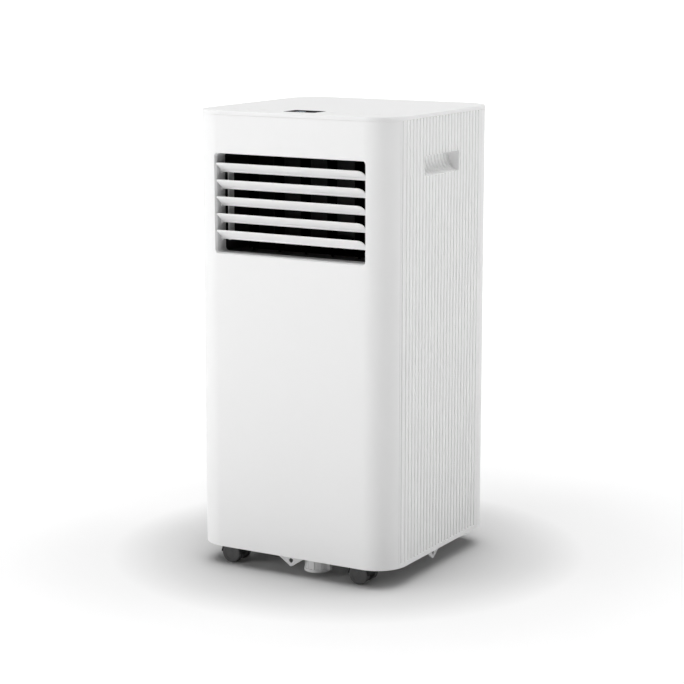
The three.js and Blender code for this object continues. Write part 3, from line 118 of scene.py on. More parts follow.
GROOVES = 25
GROOVE_FIRST = 36.0      # front face to the first groove
GROOVE_PITCH = 10.05
GROOVE_FOOT = 7.0        # casing edge to a groove's lower end
SIDE_ROW = 62.0          # tallest facet of a side
GRIP_RUN = (-76.5, 34.5)
GRIP_TOP = 640.5
GRIP_HEIGHT = 30.0
GRIP_DEPTH = 19.0

KEY_ROW = FRONT + 48.0
LOUVRE_PIVOT = joint_place("louvre_1_tilt")
LOUVRE_COUNT = 5
LOUVRE_PITCH = 25.3
CRANK = 12.0             # louvre pivot to crank pin
CRANK_SIDE = -DUCT_SIDE + 4.0
LINK_SHIFT = 4.0         # how far the link is moved towards the duct wall
LINK_LEAD = 2.5          # how far it reaches in front of its packed place
LINK_WIDTH = 14.5
TAB_X = -4.0             # middle of the front and rear screw tab
TAB_INSET = 9.0          # casing face to a screw tab
TAB_HOLE = 3.6           # radius of the screw hole
TAB_HOLE_DROP = 7.25     # casing edge down to the screw hole
SIDE_TAB = 156.0         # front face to the side tabs
SUMP_X = 28.0
SUMP_BACK = 34.0         # front face to the sump's middle
SUMP_LOW = CASING_LOW - 23.0
SUMP_RIBS = 12
SLATS = 11               # slats of a filter grille
CASTERS = ("front_left", "front_right", "rear_left", "rear_right")


# ---- Sizes and colours that a user may change ---------------------------------------------

class CasingSizes(bpy.types.PropertyGroup):
    """Edge and groove sizes of the casing, in millimetres."""

    edge: bpy.props.FloatProperty(
        name="Panel edge", description="Rounding of the moulded panel edges, in millimetres",
        default=0.45, min=0.1, max=1.2)
    groove_width: bpy.props.FloatProperty(
        name="Groove width", description="Width of the grooves on the sides, in millimetres",
        default=3.4, min=1.0, max=6.0)
    groove_depth: bpy.props.FloatProperty(
        name="Groove depth", description="Depth of the grooves on the sides, in millimetres",
        default=1.5, min=0.3, max=2.2)
    louvre_slope: bpy.props.FloatProperty(
        name="Louvre slope", description="How far the louvres rise towards the front",
        default=math.radians(37), subtype="ANGLE", unit="ROTATION")


class FinishColours(bpy.types.PropertyGroup):
    """Colours of the moulded finishes."""

    white: bpy.props.FloatVectorProperty(
        name="Casing", description="Colour of the casing, louvres and grilles",
        default=record_colour("white_plastic"), size=3, min=0, max=1, subtype="COLOR")
    light: bpy.props.FloatVectorProperty(
        name="Light grey", description="Colour of the outlet frame, link, tray and collar",
        default=record_colour("light_plastic"), size=3, min=0, max=1, subtype="COLOR")
    wheels: bpy.props.FloatVectorProperty(
        name="Wheels", description="Colour of the caster wheels",
        default=record_colour("wheel_plastic"), size=3, min=0, max=1, subtype="COLOR")
    indicator: bpy.props.FloatVectorProperty(
        name="Indicator", description="Colour of the lit figures in the display",
        default=(0.75, 0.9, 1.0), size=3, min=0, max=1, subtype="COLOR")


def sizes():
    """The sizes in use."""
    return bpy.context.scene.casing_sizes


def colours():
    """The colours in use."""
    return bpy.context.scene.finish_colours


# ---- Nodes written as expressions ---------------------------------------------------------

class Wire:
    """An output socket that takes part in sums; each operator adds a Math node."""

    def __init__(self, tree, socket):
        self.tree = tree
        self.socket = socket

    def _math(self, operation, first, second):
        return self.tree.node("ShaderNodeMath", {"operation": operation}, {0: first, 1: second})

    def __add__(self, other):
        return self._math("ADD", self, other)

    def __radd__(self, other):
        return self._math("ADD", other, self)

    def __sub__(self, other):
        return self._math("SUBTRACT", self, other)

    def __rsub__(self, other):
        return self._math("SUBTRACT", other, self)

    def __mul__(self, other):
        return self._math("MULTIPLY", self, other)

    def __rmul__(self, other):
        return self._math("MULTIPLY", other, self)

    def __truediv__(self, other):
        return self._math("DIVIDE", self, other)


class Tree:
    """Adds nodes to one shader or geometry tree."""

    def __init__(self, node_tree):
        self.tree = node_tree

    def node(self, kind, settings=None, inputs=None, output=0):
        """A new node with its settings made, its sockets filled or linked, and one output returned."""
        made = self.tree.nodes.new(kind)
        for name, value in (settings or {}).items():
            if name == "stops":
                self._ramp(made.color_ramp, value)
            else:
                setattr(made, name, value)
        for key, value in (inputs or {}).items():
            if isinstance(value, Wire):
                self.tree.links.new(value.socket, made.inputs[key])
            else:
                made.inputs[key].default_value = value
        if len(made.outputs) == 0:
            return None
        return Wire(self, made.outputs[output])

    @staticmethod
    def _ramp(ramp, stops):
        while len(ramp.elements) < len(stops):
            ramp.elements.new(0.5)
        for element, (place, grey) in zip(ramp.elements, stops):
            element.position = place
            element.color = (grey, grey, grey, 1)


class Finish(Tree):
    """A material with one Principled shader, patterned in the piece's own coordinates."""

    def __init__(self, name):
        material = bpy.data.materials.new(name)
        material.use_nodes = True
        material.node_tree.nodes.clear()
        super().__init__(material.node_tree)
        self.material = material
        self.place = self.node("ShaderNodeTexCoord", output="Object")

    def stretched(self, scale):
        """The coordinates scaled differently along each axis."""
        return self.node("ShaderNodeMapping", None, {"Vector": self.place, "Scale": scale})

    def noise(self, scale, detail=2.0, vector=None):
        """Soft random values from 0 to 1."""
        return self.node("ShaderNodeTexNoise", None,
                         {"Vector": vector or self.place, "Scale": scale, "Detail": detail})

    def cells(self, scale, vector=None):
        """Distance to the middle of the nearest random cell."""
        return self.node("ShaderNodeTexVoronoi", None,
                         {"Vector": vector or self.place, "Scale": scale}, "Distance")

    def ramp(self, value, stops):
        """A grey ramp over a value."""
        return self.node("ShaderNodeValToRGB", {"stops": stops}, {"Fac": value})

    def between(self, share, first, second):
        """A colour between two colours."""
        return self.node("ShaderNodeMix", {"data_type": "RGBA"},
                         {0: share, 6: tint(first), 7: tint(second)}, 2)

    def bump(self, height, strength, distance):
        """A normal raised by a height; distance in metres."""
        return self.node("ShaderNodeBump", None,
                         {"Height": height, "Strength": strength, "Distance": distance})

    def shade(self, **inputs):
        """Ends the material with a Principled shader; spaces in socket names are underscores."""
        named = {key.replace("_", " "): value for key, value in inputs.items()}
        surface = self.node("ShaderNodeBsdfPrincipled", None, named)
        self.node("ShaderNodeOutputMaterial", None, {"Surface": surface})
        return self.material


def tint(colour, share=1.0):
    """A colour with alpha, made lighter or darker; wires pass through."""
    if isinstance(colour, Wire):
        return colour
    return tuple(min(1.0, value * share) for value in colour[:3]) + (1.0,)


def moulded(name, colour, roughness, grain=900.0, depth=0.00003, cloud=0.03, coat=0.0):
    """Moulded plastic: fine spark-eroded grain, faint clouding and uneven gloss."""
    finish = Finish(name)
    clouds = finish.noise(7.0, 3.0)
    handling = finish.noise(55.0, 4.0)
    skin = finish.noise(grain, 3.0)
    pores = finish.cells(grain * 0.6)
    share = clouds * 0.75 + handling * 0.25
    base = finish.between(share, tint(colour, 1 - cloud), tint(colour, 1 + cloud))
    gloss = roughness - 0.05 + handling * 0.1
    height = skin * 0.7 + pores * 0.3
    return finish.shade(Base_Color=base, Roughness=gloss, Coat_Weight=coat, Coat_Roughness=0.2,
                        Normal=finish.bump(height, 0.35, depth))


def foamed(name, colour, bead=320.0):
    """Black foam or flock: pressed beads with dark joints, and next to no shine."""
    finish = Finish(name)
    beads = finish.cells(bead)
    base = finish.between(beads, tint(colour, 1.5), tint(colour, 0.6))
    return finish.shade(Base_Color=base, Roughness=0.95 - beads * 0.1, Specular_IOR_Level=0.0,
                        Normal=finish.bump(1 - beads, 0.5, 0.0004))


def metal(name, colour, roughness, along, clean=1.0):
    """Bare metal with drawing lines along one direction and dull patches."""
    finish = Finish(name)
    lines = finish.noise(60.0, 4.0, finish.stretched(along))
    patches = finish.noise(25.0, 3.0)
    base = finish.between(patches, tint(colour, 0.85), tint(colour, 1.08))
    return finish.shade(Base_Color=base, Metallic=clean, Roughness=roughness + lines * 0.18 - 0.09,
                        Normal=finish.bump(lines, 0.2, 0.00005))


def finned(name, colour):
    """A pack of thin pressed fins that stand side by side across the width, with painted shade in the gaps between
    them.
    """
    finish = Finish(name)
    pack = finish.node("ShaderNodeTexWave", {"bands_direction": "X", "wave_profile": "SAW"},
                       {"Vector": finish.place, "Scale": 95.0, "Distortion": 0.0}, "Fac")
    dents = finish.noise(30.0, 3.0)
    # Painted shade: the gaps between the fins are darkened to a small share of the fin colour.
    painted_gap_shade = finish.ramp(pack, [(0.0, 0.12), (0.5, 0.9), (1.0, 1.0)])
    base = finish.between(painted_gap_shade, tint(colour, 0.15), tint(colour))
    return finish.shade(Base_Color=base, Metallic=0.9, Roughness=0.35 + dents * 0.2,
                        Normal=finish.bump(pack, 0.8, 0.0008))


def dark_glass(name, colour):
    """Tinted window: smooth, with a few faint wipe marks."""
    finish = Finish(name)
    wipes = finish.noise(45.0, 4.0, finish.stretched((1.0, 3.0, 1.0)))
    base = finish.between(wipes, tint(colour, 0.8), tint(colour, 1.3))
    return finish.shade(Base_Color=base, Roughness=0.06 + wipes * 0.1, Coat_Weight=0.5,
                        Coat_Roughness=0.04, Normal=finish.bump(wipes, 0.05, 0.00002))


def lit_figures(name, colour):
    """Figures lit from behind, a little brighter in the middle of each stroke."""
    finish = Finish(name)
    glow = finish.noise(700.0, 1.0)
    shine = finish.between(glow, tint(colour, 0.75), tint(colour))
    return finish.shade(Base_Color=shine, Roughness=0.3 + glow * 0.1, Emission_Color=shine,
                        Emission_Strength=0.9)


def circuit_board(name, colour):
    """Green board with paler tracks and bright pads."""
    finish = Finish(name)
    tracks = finish.node("ShaderNodeTexBrick", None,
                         {"Vector": finish.place, "Scale": 90.0, "Mortar Size": 0.06}, "Fac")
    pads = finish.ramp(finish.cells(160.0), [(0.0, 1.0), (0.18, 1.0), (0.2, 0.0)])
    board = finish.between(tracks, tint(colour), tint(colour, 1.9))
    base = finish.between(pads, board, (0.6, 0.58, 0.5))
    return finish.shade(Base_Color=base, Roughness=0.5 - pads * 0.2,
                        Normal=finish.bump(tracks, 0.4, 0.0001))


def net_cloth(name, colour):
    """Woven filter net: two sets of threads that cross."""
    finish = Finish(name)
    upright = finish.node("ShaderNodeTexWave", {"bands_direction": "X"},
                          {"Vector": finish.place, "Scale": 260.0}, "Fac")
    level = finish.node("ShaderNodeTexWave", {"bands_direction": "Z"},
                        {"Vector": finish.place, "Scale": 260.0}, "Fac")
    weave = finish.node("ShaderNodeMath", {"operation": "MAXIMUM"}, {0: upright, 1: level})
    lint = finish.noise(18.0, 5.0)
    base = finish.between(weave, tint(colour, 0.35), tint(colour, 1.2))
    return finish.shade(Base_Color=base, Roughness=0.75 + lint * 0.15,
                        Normal=finish.bump(weave, 0.7, 0.0003))


def studio_floor(name):
    """Pale matt floor with a painted contact shadow: darker near the object, and brightening with the distance
    from it.
    """
    finish = Finish(name)
    distance = finish.node("ShaderNodeVectorMath", {"operation": "LENGTH"}, {0: finish.place}, "Value")
    share = distance / 3.0
    worn = finish.noise(3.0, 4.0)
    # Painted contact shadow: the floor's colour is darkest next to the object and pales with the distance.
    floor_tone_painted_shadow = finish.ramp(share, [(0.05, 0.58), (0.075, 0.63), (0.1, 0.72), (0.125, 0.86), (0.16, 0.87),
                               (0.3, 0.94)])
    base = finish.between(0.02 * worn, floor_tone_painted_shadow, (1.0, 1.0, 1.0))
    glow = finish.ramp(share, [(0.0, 0.0), (0.15, 0.0), (0.4, 0.08), (0.8, 0.28), (1.0, 0.34)])
    return finish.shade(Base_Color=base, Roughness=0.9 + worn * 0.05, Specular_IOR_Level=0.0,
                        Emission_Color=glow, Emission_Strength=1.0)


def finish_recipes():
    """What makes each finish, and the record's slot that it belongs to."""
    grey = record_colour
    return {
        "white_plastic": ("white_plastic", lambda n: moulded(n, colours().white, 0.42, coat=0.08)),
        "light_plastic": ("light_plastic", lambda n: moulded(n, colours().light, 0.5)),
        "key_plastic": ("key_plastic",
                        lambda n: moulded(n, tint(grey("key_plastic"), 0.8), 0.4, 1400.0)),
        "black_plastic": ("black_plastic",
                          lambda n: moulded(n, grey("black_plastic"), 0.5, 800.0, cloud=0.2)),
        "wheel_plastic": ("wheel_plastic",
                          lambda n: moulded(n, colours().wheels, 0.48, 600.0, 0.00005, 0.12)),
        # Painted shade: the foam, the vanes and the fan blades are made far darker than their own colours, so the
        # inside seen through the outlet stays black as in shade.
        "black_foam": ("black_foam", lambda n: foamed(n, tint(grey("black_foam"), 0.06))),
        "vane_black": ("black_plastic", lambda n: foamed(n, tint(grey("black_plastic"), 0.05), 900.0)),
        "outlet_grey": ("light_plastic", lambda n: moulded(n, (0.66, 0.66, 0.665), 0.55)),
        "display": ("display", lambda n: dark_glass(n, grey("display"))),
        "figures": ("display", lambda n: lit_figures(n, colours().indicator)),
        "fins": ("fins", lambda n: finned(n, grey("fins"))),
        "copper": ("copper", lambda n: metal(n, grey("copper"), 0.3, (1.0, 1.0, 0.1))),
        "steel": ("steel", lambda n: metal(n, grey("steel"), 0.35, (0.2, 4.0, 4.0))),
        "enamel": ("enamel", lambda n: moulded(n, grey("enamel"), 0.3, 250.0, 0.0002, 0.3, 0.4)),
        "board": ("board", lambda n: circuit_board(n, grey("board"))),
        "filter_net": ("black_plastic", lambda n: net_cloth(n, (0.09, 0.09, 0.095))),
    }


def finish_named(name):
    """The material of a finish, made when it is first asked for."""
    if name not in bpy.data.materials:
        recipe = finish_recipes()[name][1]
        bpy.data.materials[recipe(name + "_new").name].name = name
    return bpy.data.materials[name]


# ---- Mesh helpers, all in millimetres -----------------------------------------------------

def added(name, data):
    """A new object with its data, put into the scene."""
    piece = bpy.data.objects.new(name, data)
    bpy.context.scene.collection.objects.link(piece)
    return piece


def lift(axis, at, first, second):
    """A point from its place on one axis and its two other coordinates, in X, Y, Z order."""
    point = [first, second]
    point.insert(axis, at)
    return tuple(point)


def solid(name, points, faces):
    """A closed piece from points and faces, its doubles merged and its faces turned outwards."""
    mesh = bpy.data.meshes.new(name)
    mesh.from_pydata([[value * MM for value in point] for point in points], [], faces)
    shape = bmesh.new()
    shape.from_mesh(mesh)
    bmesh.ops.remove_doubles(shape, verts=shape.verts, dist=0.002 * MM)
    bmesh.ops.dissolve_degenerate(shape, edges=shape.edges, dist=0.001 * MM)
    bmesh.ops.recalc_face_normals(shape, faces=shape.faces)
    shape.to_mesh(mesh)
    shape.free()
    return added(name, mesh)


def loft(name, loops, ring=False):
    """Skins closed loops of equal length; the ends are capped, or joined where it is a ring."""
    count = len(loops[0])
    rows = len(loops)
    points = [point for loop in loops for point in loop]
    faces = []
    for row in range(rows if ring else rows - 1):
        here = row * count
        there = (row + 1) % rows * count
        for k in range(count):
            after = (k + 1) % count
            faces.append((here + k, here + after, there + after, there + k))
    if not ring:
        faces.append(tuple(range(count)))
        faces.append(tuple(range((rows - 1) * count, rows * count)))
    return solid(name, points, faces)


def extruded(name, axis, outline, start, end):
    """A flat outline drawn out along one axis."""
    return loft(name, [[lift(axis, at, *point) for point in outline] for at in (start, end)])


def turned(name, axis, centre, profile, sides=64, ring=False):
    """A profile of (place on the axis, radius) turned about an axis through the centre."""
    loops = []
    for at, radius in profile:
        loop = []
        for k in range(sides):
            turn = math.tau * k / sides
            loop.append(lift(axis, at, centre[0] + radius * math.cos(turn),
                             centre[1] + radius * math.sin(turn)))
        loops.append(loop)
    return loft(name, loops, ring)


def arc(centre, radius, start, end, steps):
    """Points on an arc, both ends included; angles in degrees."""
    points = []
    for k in range(steps + 1):
        turn = math.radians(start + (end - start) * k / steps)
        points.append((centre[0] + radius * math.cos(turn), centre[1] + radius * math.sin(turn)))
    return points


def round_rectangle(low, high, radius, steps=6):
    """A rectangle with rounded corners between two opposite corners."""
    radius = max(radius, 0.01)
    places = [((high[0] - radius, low[1] + radius), -90), ((high[0] - radius, high[1] - radius), 0),
              ((low[0] + radius, high[1] - radius), 90), ((low[0] + radius, low[1] + radius), 180)]
    outline = []
    for centre, start in places:
        outline += arc(centre, radius, start, start + 90, steps)
    return outline


def block(name, low, high):
    """A box between two corners, for use with a rounded edge or as a cutter."""
    return extruded(name, 2, [(low[0], low[1]), (high[0], low[1]), (high[0], high[1]),
                              (low[0], high[1])], low[2], high[2])


def bake(piece):
    """Turns a piece and its modifiers into a plain mesh."""
    bpy.context.view_layer.update()
    graph = bpy.context.evaluated_depsgraph_get()
    mesh = bpy.data.meshes.new_from_object(piece.evaluated_get(graph), depsgraph=graph)
    if len(mesh.polygons) == 0:
        raise RuntimeError(f"{piece.name} came out empty")
    mesh.name = piece.name
    spent = piece.data
    piece.modifiers.clear()
    piece.data = mesh
    bpy.data.meshes.remove(spent)


def together(pieces):
    """Joins several pieces into the first one's mesh."""
    first = pieces[0]
    shape = bmesh.new()
    for piece in pieces:
        shape.from_mesh(piece.data)
    shape.to_mesh(first.data)
    shape.free()
    for piece in pieces[1:]:
        bpy.data.objects.remove(piece)
    return first


def combine(piece, others, operation="DIFFERENCE"):
    """Cuts the others out of a piece, or welds them to it, and uses them up."""
    tool = together(others)
    change = piece.modifiers.new("combine", "BOOLEAN")
    change.operation = operation
    change.solver = "EXACT"
    change.use_self = operation == "UNION"
    change.object = tool
    bake(piece)
    bpy.data.objects.remove(tool)
    return piece


def soften(piece, width=0.0, angle=50.0):
    """Rounds the sharp edges, then shades the piece smooth with its flat faces kept flat."""
    if width:
        edge = piece.modifiers.new("edge", "BEVEL")
        edge.width = width * MM
        edge.segments = 2
        edge.limit_method = "ANGLE"
        edge.angle_limit = math.radians(angle)
        edge.use_clamp_overlap = True
        bake(piece)
    mesh = piece.data
    mesh.polygons.foreach_set("use_smooth", [True] * len(mesh.polygons))
    mesh.set_sharp_from_angle(angle=math.radians(38))
    normals = piece.modifiers.new("normals", "WEIGHTED_NORMAL")
    normals.keep_sharp = True
    normals.weight = 60
    bake(piece)
    return piece


def deliver(piece, body, finish, *nodes):
    """Gives a piece its finish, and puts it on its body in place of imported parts."""
    piece.data.materials.clear()
    piece.data.materials.append(finish_named(finish))
    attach(piece, body)
    if nodes:
        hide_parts(*nodes)
    return piece


def refined(node, name, width):
    """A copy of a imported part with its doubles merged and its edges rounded."""
    mesh = frame["nodes"][node].data.copy()
    shape = bmesh.new()
    shape.from_mesh(mesh)
    bmesh.ops.remove_doubles(shape, verts=shape.verts, dist=0.005 * MM)
    bmesh.ops.dissolve_limit(shape, angle_limit=math.radians(1), verts=shape.verts, edges=shape.edges)
    shape.to_mesh(mesh)
    shape.free()
    mesh.materials.clear()
    return soften(added(name, mesh), width)


# ---- Geometry Nodes: copies in a row, and copies on given points --------------------------

def copies_tree(name, in_row):
    """A node tree that sets copies of an item in a row, or on the host's own points."""
    group = bpy.data.node_groups.new(name, "GeometryNodeTree")
    wanted = [("Points", "Geometry"), ("Item", "Object"), ("Material", "Material")]
    if in_row:
        wanted += [("Count", "Int"), ("First", "Vector"), ("Step", "Vector")]
    for label, kind in wanted:
        group.interface.new_socket(label, in_out="INPUT", socket_type="NodeSocket" + kind)
    group.interface.new_socket("Copies", in_out="OUTPUT", socket_type="NodeSocketGeometry")
    tree = Tree(group)
    given = tree.node("NodeGroupInput").socket.node.outputs
    points = Wire(tree, given["Points"])
    if in_row:
        points = tree.node("GeometryNodeMeshLine", {"mode": "OFFSET"}, {
            "Count": Wire(tree, given["Count"]),
            "Start Location": Wire(tree, given["First"]),
            "Offset": Wire(tree, given["Step"]),
        })
    item = tree.node("GeometryNodeObjectInfo", None, {"Object": Wire(tree, given["Item"])}, "Geometry")
    copies = tree.node("GeometryNodeInstanceOnPoints", None, {"Points": points, "Instance": item})
    real = tree.node("GeometryNodeRealizeInstances", None, {"Geometry": copies})
    done = tree.node("GeometryNodeSetMaterial", None,
                     {"Geometry": real, "Material": Wire(tree, given["Material"])})
    tree.node("NodeGroupOutput", None, {0: done})
    return group


def copies(name, item, finish, points=(), row=None):
    """A piece made of copies of an item, which is used up."""
    mesh = bpy.data.meshes.new(name)
    mesh.from_pydata([[value * MM for value in point] for point in points], [], [])
    host = added(name, mesh)
    values = {"Item": item, "Material": finish_named(finish)}
    if row:
        count, first, step = row
        values["Count"] = count
        values["First"] = [value * MM for value in first]
        values["Step"] = [value * MM for value in step]
    group = copies_tree(name + "_tree", row is not None)
    change = host.modifiers.new("copies", "NODES")
    change.node_group = group
    for socket in group.interface.items_tree:
        if socket.name in values:
            change[socket.identifier] = values[socket.name]
    bake(host)
    bpy.data.objects.remove(item)
    bpy.data.node_groups.remove(group)
    return host


# ---- Casing panels ------------------------------------------------------------------------

def half_wrap(inset, face, radius, end):
    """Half of a panel's line from above: from its end on the side, round the corner."""
    inward = 1 if face < 0 else -1
    centre = face + inward * radius
    reach = radius - inset
    lead = (centre - end) * inward
    points = []
    start = 0.0
    if lead < 0:
        points.append((SIDE - inset, end))
    else:
        start = math.asin(lead / reach)
    for k in range(CORNER_STEPS + 1):
        turn = start + (math.pi / 2 - start) * k / CORNER_STEPS
        points.append((SIDE - radius + reach * math.cos(turn),
                       centre - inward * reach * math.sin(turn)))
    return points


def wrapped_panel(name, face, radius, end):
    """A panel across one face and round its two corners, with all its edges rounded."""
    edge = sizes().edge
    soft = edge * SOFT
    low, high = CASING_LOW, PANEL_TOP
    section = [(0, low + edge), (soft, low + soft), (edge, low), (WALL, low),
               (WALL, high), (edge, high), (soft, high - soft), (0, high - edge)]
    inward = 1 if face < 0 else -1

    def column(shift, shrink, index):
        loop = []
        for inset, height in section:
            inset = min(max(inset, shrink), WALL - shrink)
            height = min(max(height, low + shrink), high - shrink)
            line = half_wrap(inset, face, radius, end - inward * shift)
            loop.append((*line[index], height))
        return loop

    count = len(half_wrap(0, face, radius, end))
    half = [column(0, edge, 0), column(soft, soft, 0)]
    half += [column(edge, 0, k) for k in range(count)]
    mirrored = [[(-x, y, z) for x, y, z in loop] for loop in reversed(half)]
    return loft(name, half + mirrored)


def outlet_loop(grow, y):
    """The outlet opening, made larger on all sides, at one depth."""
    outline = round_rectangle((-OUTLET_SIDE - grow, OUTLET_LOW - grow),
                              (OUTLET_SIDE + grow, OUTLET_HIGH + grow), OUTLET_RADIUS + grow, 8)
    return [(x, y, z) for x, z in outline]


def build_front_panel():
    """Front panel with the turned-in edge of the outlet."""
    panel = wrapped_panel("front_shell", FRONT, FRONT_RADIUS, PANEL_HIGH[1] + FRONT_SEAM)
    rim = loft("rim", [outlet_loop(OUTLET_RIM, FRONT + WALL / 2),
                       outlet_loop(OUTLET_RIM, FRONT + OUTLET_RETURN)])
    combine(panel, [rim], "UNION")
    edge = OUTLET_EDGE
    cutter = loft("opening", [
        outlet_loop(edge * 3, FRONT - 1),
        outlet_loop(edge, FRONT),
        outlet_loop(edge * 0.5, FRONT + edge * 0.13),
        outlet_loop(edge * SOFT * 0.46, FRONT + edge * 0.5),
        outlet_loop(0, FRONT + edge),
        outlet_loop(-DRAFT, FRONT + OUTLET_RETURN),
        outlet_loop(-DRAFT, FRONT + OUTLET_RETURN + 2),
    ])
    combine(panel, [cutter])
    deliver(soften(panel), "casing", "white_plastic", "front_panel")


def step_depth(distance):
    """How deep a recess may be at a distance inside its wall, which has a rounded edge."""
    if distance <= -0.5:
        return 0.0
    if distance <= 0:
        return 0.5 * (1 + distance / 0.5) ** 2
    return 0.5 if distance < 0.04 else 1000.0


def grip_depth(y, z, extra):
    """Depth of the scooped grip, made larger all round by an extra distance."""
    top = GRIP_TOP + extra
    drop = (top - z) / (GRIP_HEIGHT + extra * 2)
    if drop >= 1:
        return 0.0
    bowl = (GRIP_DEPTH + extra) * math.sqrt(1 - max(drop, 0.0) ** 2)
    start, end = GRIP_RUN
    return min(bowl, step_depth(y - start + extra), step_depth(end + extra - y), step_depth(top - z))


def groove_profile():
    """Places across one groove and the share of its depth there."""
    half = sizes().groove_width / 2
    return [(-half - 0.35, 0.0), (-half - 0.1, 0.06), (-half, 0.25), (-half + 0.12, 0.8),
            (-half + 0.45, 1.0), (half - 0.45, 1.0), (half - 0.12, 0.8), (half, 0.25),
            (half + 0.1, 0.06), (half + 0.35, 0.0)]


def side_surface(y, inset):
    """How far out the side lies: straight, but curved where it meets the front corner."""
    centre = FRONT + FRONT_RADIUS
    reach = FRONT_RADIUS - inset
    return SIDE - FRONT_RADIUS + math.sqrt(reach ** 2 - min(y - centre, 0.0) ** 2)


def build_side_panels():
    """Grooved sides with a scooped grip; both from one shape."""
    edge = sizes().edge
    border = [(0.0, edge), (edge * SOFT, edge * SOFT), (edge, 0.0)]
    columns = {}
    for shift, depth in border:
        columns[SIDE_START + shift] = depth
        columns[SIDE_END - shift] = depth
    for k in range(GROOVES):
        middle = FRONT + GROOVE_FIRST + k * GROOVE_PITCH
        for shift, share in groove_profile():
            columns[middle + shift] = share * sizes().groove_depth
    for extra in (0.0, WALL):
        for wall, inside in ((GRIP_RUN[0] - extra, 1), (GRIP_RUN[1] + extra, -1)):
            for shift in (-0.5, -0.25, 0.0, 0.06):
                columns.setdefault(wall + shift * inside, None)
    places = sorted(columns)
    known = [y for y in places if columns[y] is not None]
    for y in places:
        if columns[y] is None:
            below = max(k for k in known if k <= y)
            above = min(k for k in known if k >= y)
            share = (y - below) / max(above - below, 1e-6)
            columns[y] = columns[below] * (1 - share) + columns[above] * share
    foot = CASING_LOW + GROOVE_FOOT
    rows = [CASING_LOW + shift for shift, _ in border] + [foot - 0.5, foot + 0.5]
    rows += [PANEL_TOP - shift for shift, _ in border]
    for extra in (0.0, WALL):
        top = GRIP_TOP + extra
        rows += [top - (GRIP_HEIGHT + extra * 2) * math.sin(math.pi / 2 * k / 14) for k in range(1, 15)]
        rows += [top - 0.06, top, top + 0.25, top + 0.5]
    rows += [foot + 0.5 + SIDE_ROW * k for k in range(1, 10)] + [GRIP_TOP + 20.0, GRIP_TOP + 38.0]
    rows = sorted(rows)

    def outer(y, z):
        margin = min(z - CASING_LOW, PANEL_TOP - z)
        rim = max((depth for shift, depth in border if margin <= shift + 1e-6), default=0.0)
        share = min(max(z - foot + 0.5, 0.0), 1.0)
        at_end = min(y - SIDE_START, SIDE_END - y) < edge
        groove = columns[y] * (1.0 if at_end else share)
        return side_surface(y, 0) - max(rim, groove) - grip_depth(y, z, 0.0)

    def inner(y, z):
        return min(side_surface(y, WALL), SIDE - grip_depth(y, z, WALL))

    for sign, name, node in ((1, "right_side_shell", "right_side_panel"),
                             (-1, "left_side_shell", "left_side_panel")):
        points = [(sign * outer(y, z), y, z) for z in rows for y in places]
        points += [(sign * inner(y, z), y, z) for z in rows for y in places]
        panel = solid(name, points, shell_faces(len(places), len(rows)))
        deliver(soften(panel), "casing", "white_plastic", node)


def shell_faces(columns, rows):
    """Faces of two grids, one behind the other, closed round their borders."""
    back = columns * rows
    faces = []
    for row in range(rows - 1):
        for column in range(columns - 1):
            first = row * columns + column
            quad = (first, first + 1, first + columns + 1, first + columns)
            faces.append(quad)
            faces.append(tuple(back + index for index in reversed(quad)))
    border = list(range(columns))
    border += [row * columns + columns - 1 for row in range(1, rows)]
    border += [(rows - 1) * columns + column for column in range(columns - 2, -1, -1)]
    border += [row * columns for row in range(rows - 2, 0, -1)]
    for index, here in enumerate(border):
        there = border[(index + 1) % len(border)]
        faces.append((here, back + here, back + there, there))
    return faces


def build_rear_panel():
    """Rear panel with openings for the grilles, exhaust, drain and cable."""
    panel = wrapped_panel("rear_shell", REAR, REAR_RADIUS, REAR_START)
    run = (REAR - 10, REAR + 5)
    cutters = []
    for node, radius in (("exhaust_collar", 61.3), ("drain_plug", 7.3), ("cable_gland", 7.3)):
        cutters.append(turned("cutter", 1, middle_behind(node), [(at, radius) for at in run]))
    for name in ("upper_filter_grille", "lower_filter_grille"):
        low, high = corners(name)
        cutters.append(extruded("cutter", 1, round_rectangle(
            (low[0] - 0.3, low[2] - 0.3), (high[0] + 0.3, high[2] + 0.3), 1.3), *run))
    combine(panel, cutters)
    deliver(soften(panel), "casing", "white_plastic", "rear_panel")


# ---- Top cover ----------------------------------------------------------------------------

def casing_loop(inset, z):
    """The casing's whole outline from above, moved inwards, at one height."""
    half = half_wrap(inset, FRONT, FRONT_RADIUS, FRONT + FRONT_RADIUS)
    half = list(reversed(half_wrap(inset, REAR, REAR_RADIUS, REAR - REAR_RADIUS))) + half
    return [(x, y, z) for x, y in half] + [(-x, y, z) for x, y in reversed(half)]


def key_places():
    """Middle of each key from left to right."""
    return [(corners(f"key_{k + 1}")[0][0] + corners(f"key_{k + 1}")[1][0]) / 2 for k in range(8)]


def display_loop(grow, z):
    """Outline of the display window, made larger on all sides, at one height."""
    low, high = corners("display_window")
    outline = round_rectangle((low[0] - grow, low[1] - grow), (high[0] + grow, high[1] + grow),
                              3.0 + grow)
    return [(x, y, z) for x, y in outline]


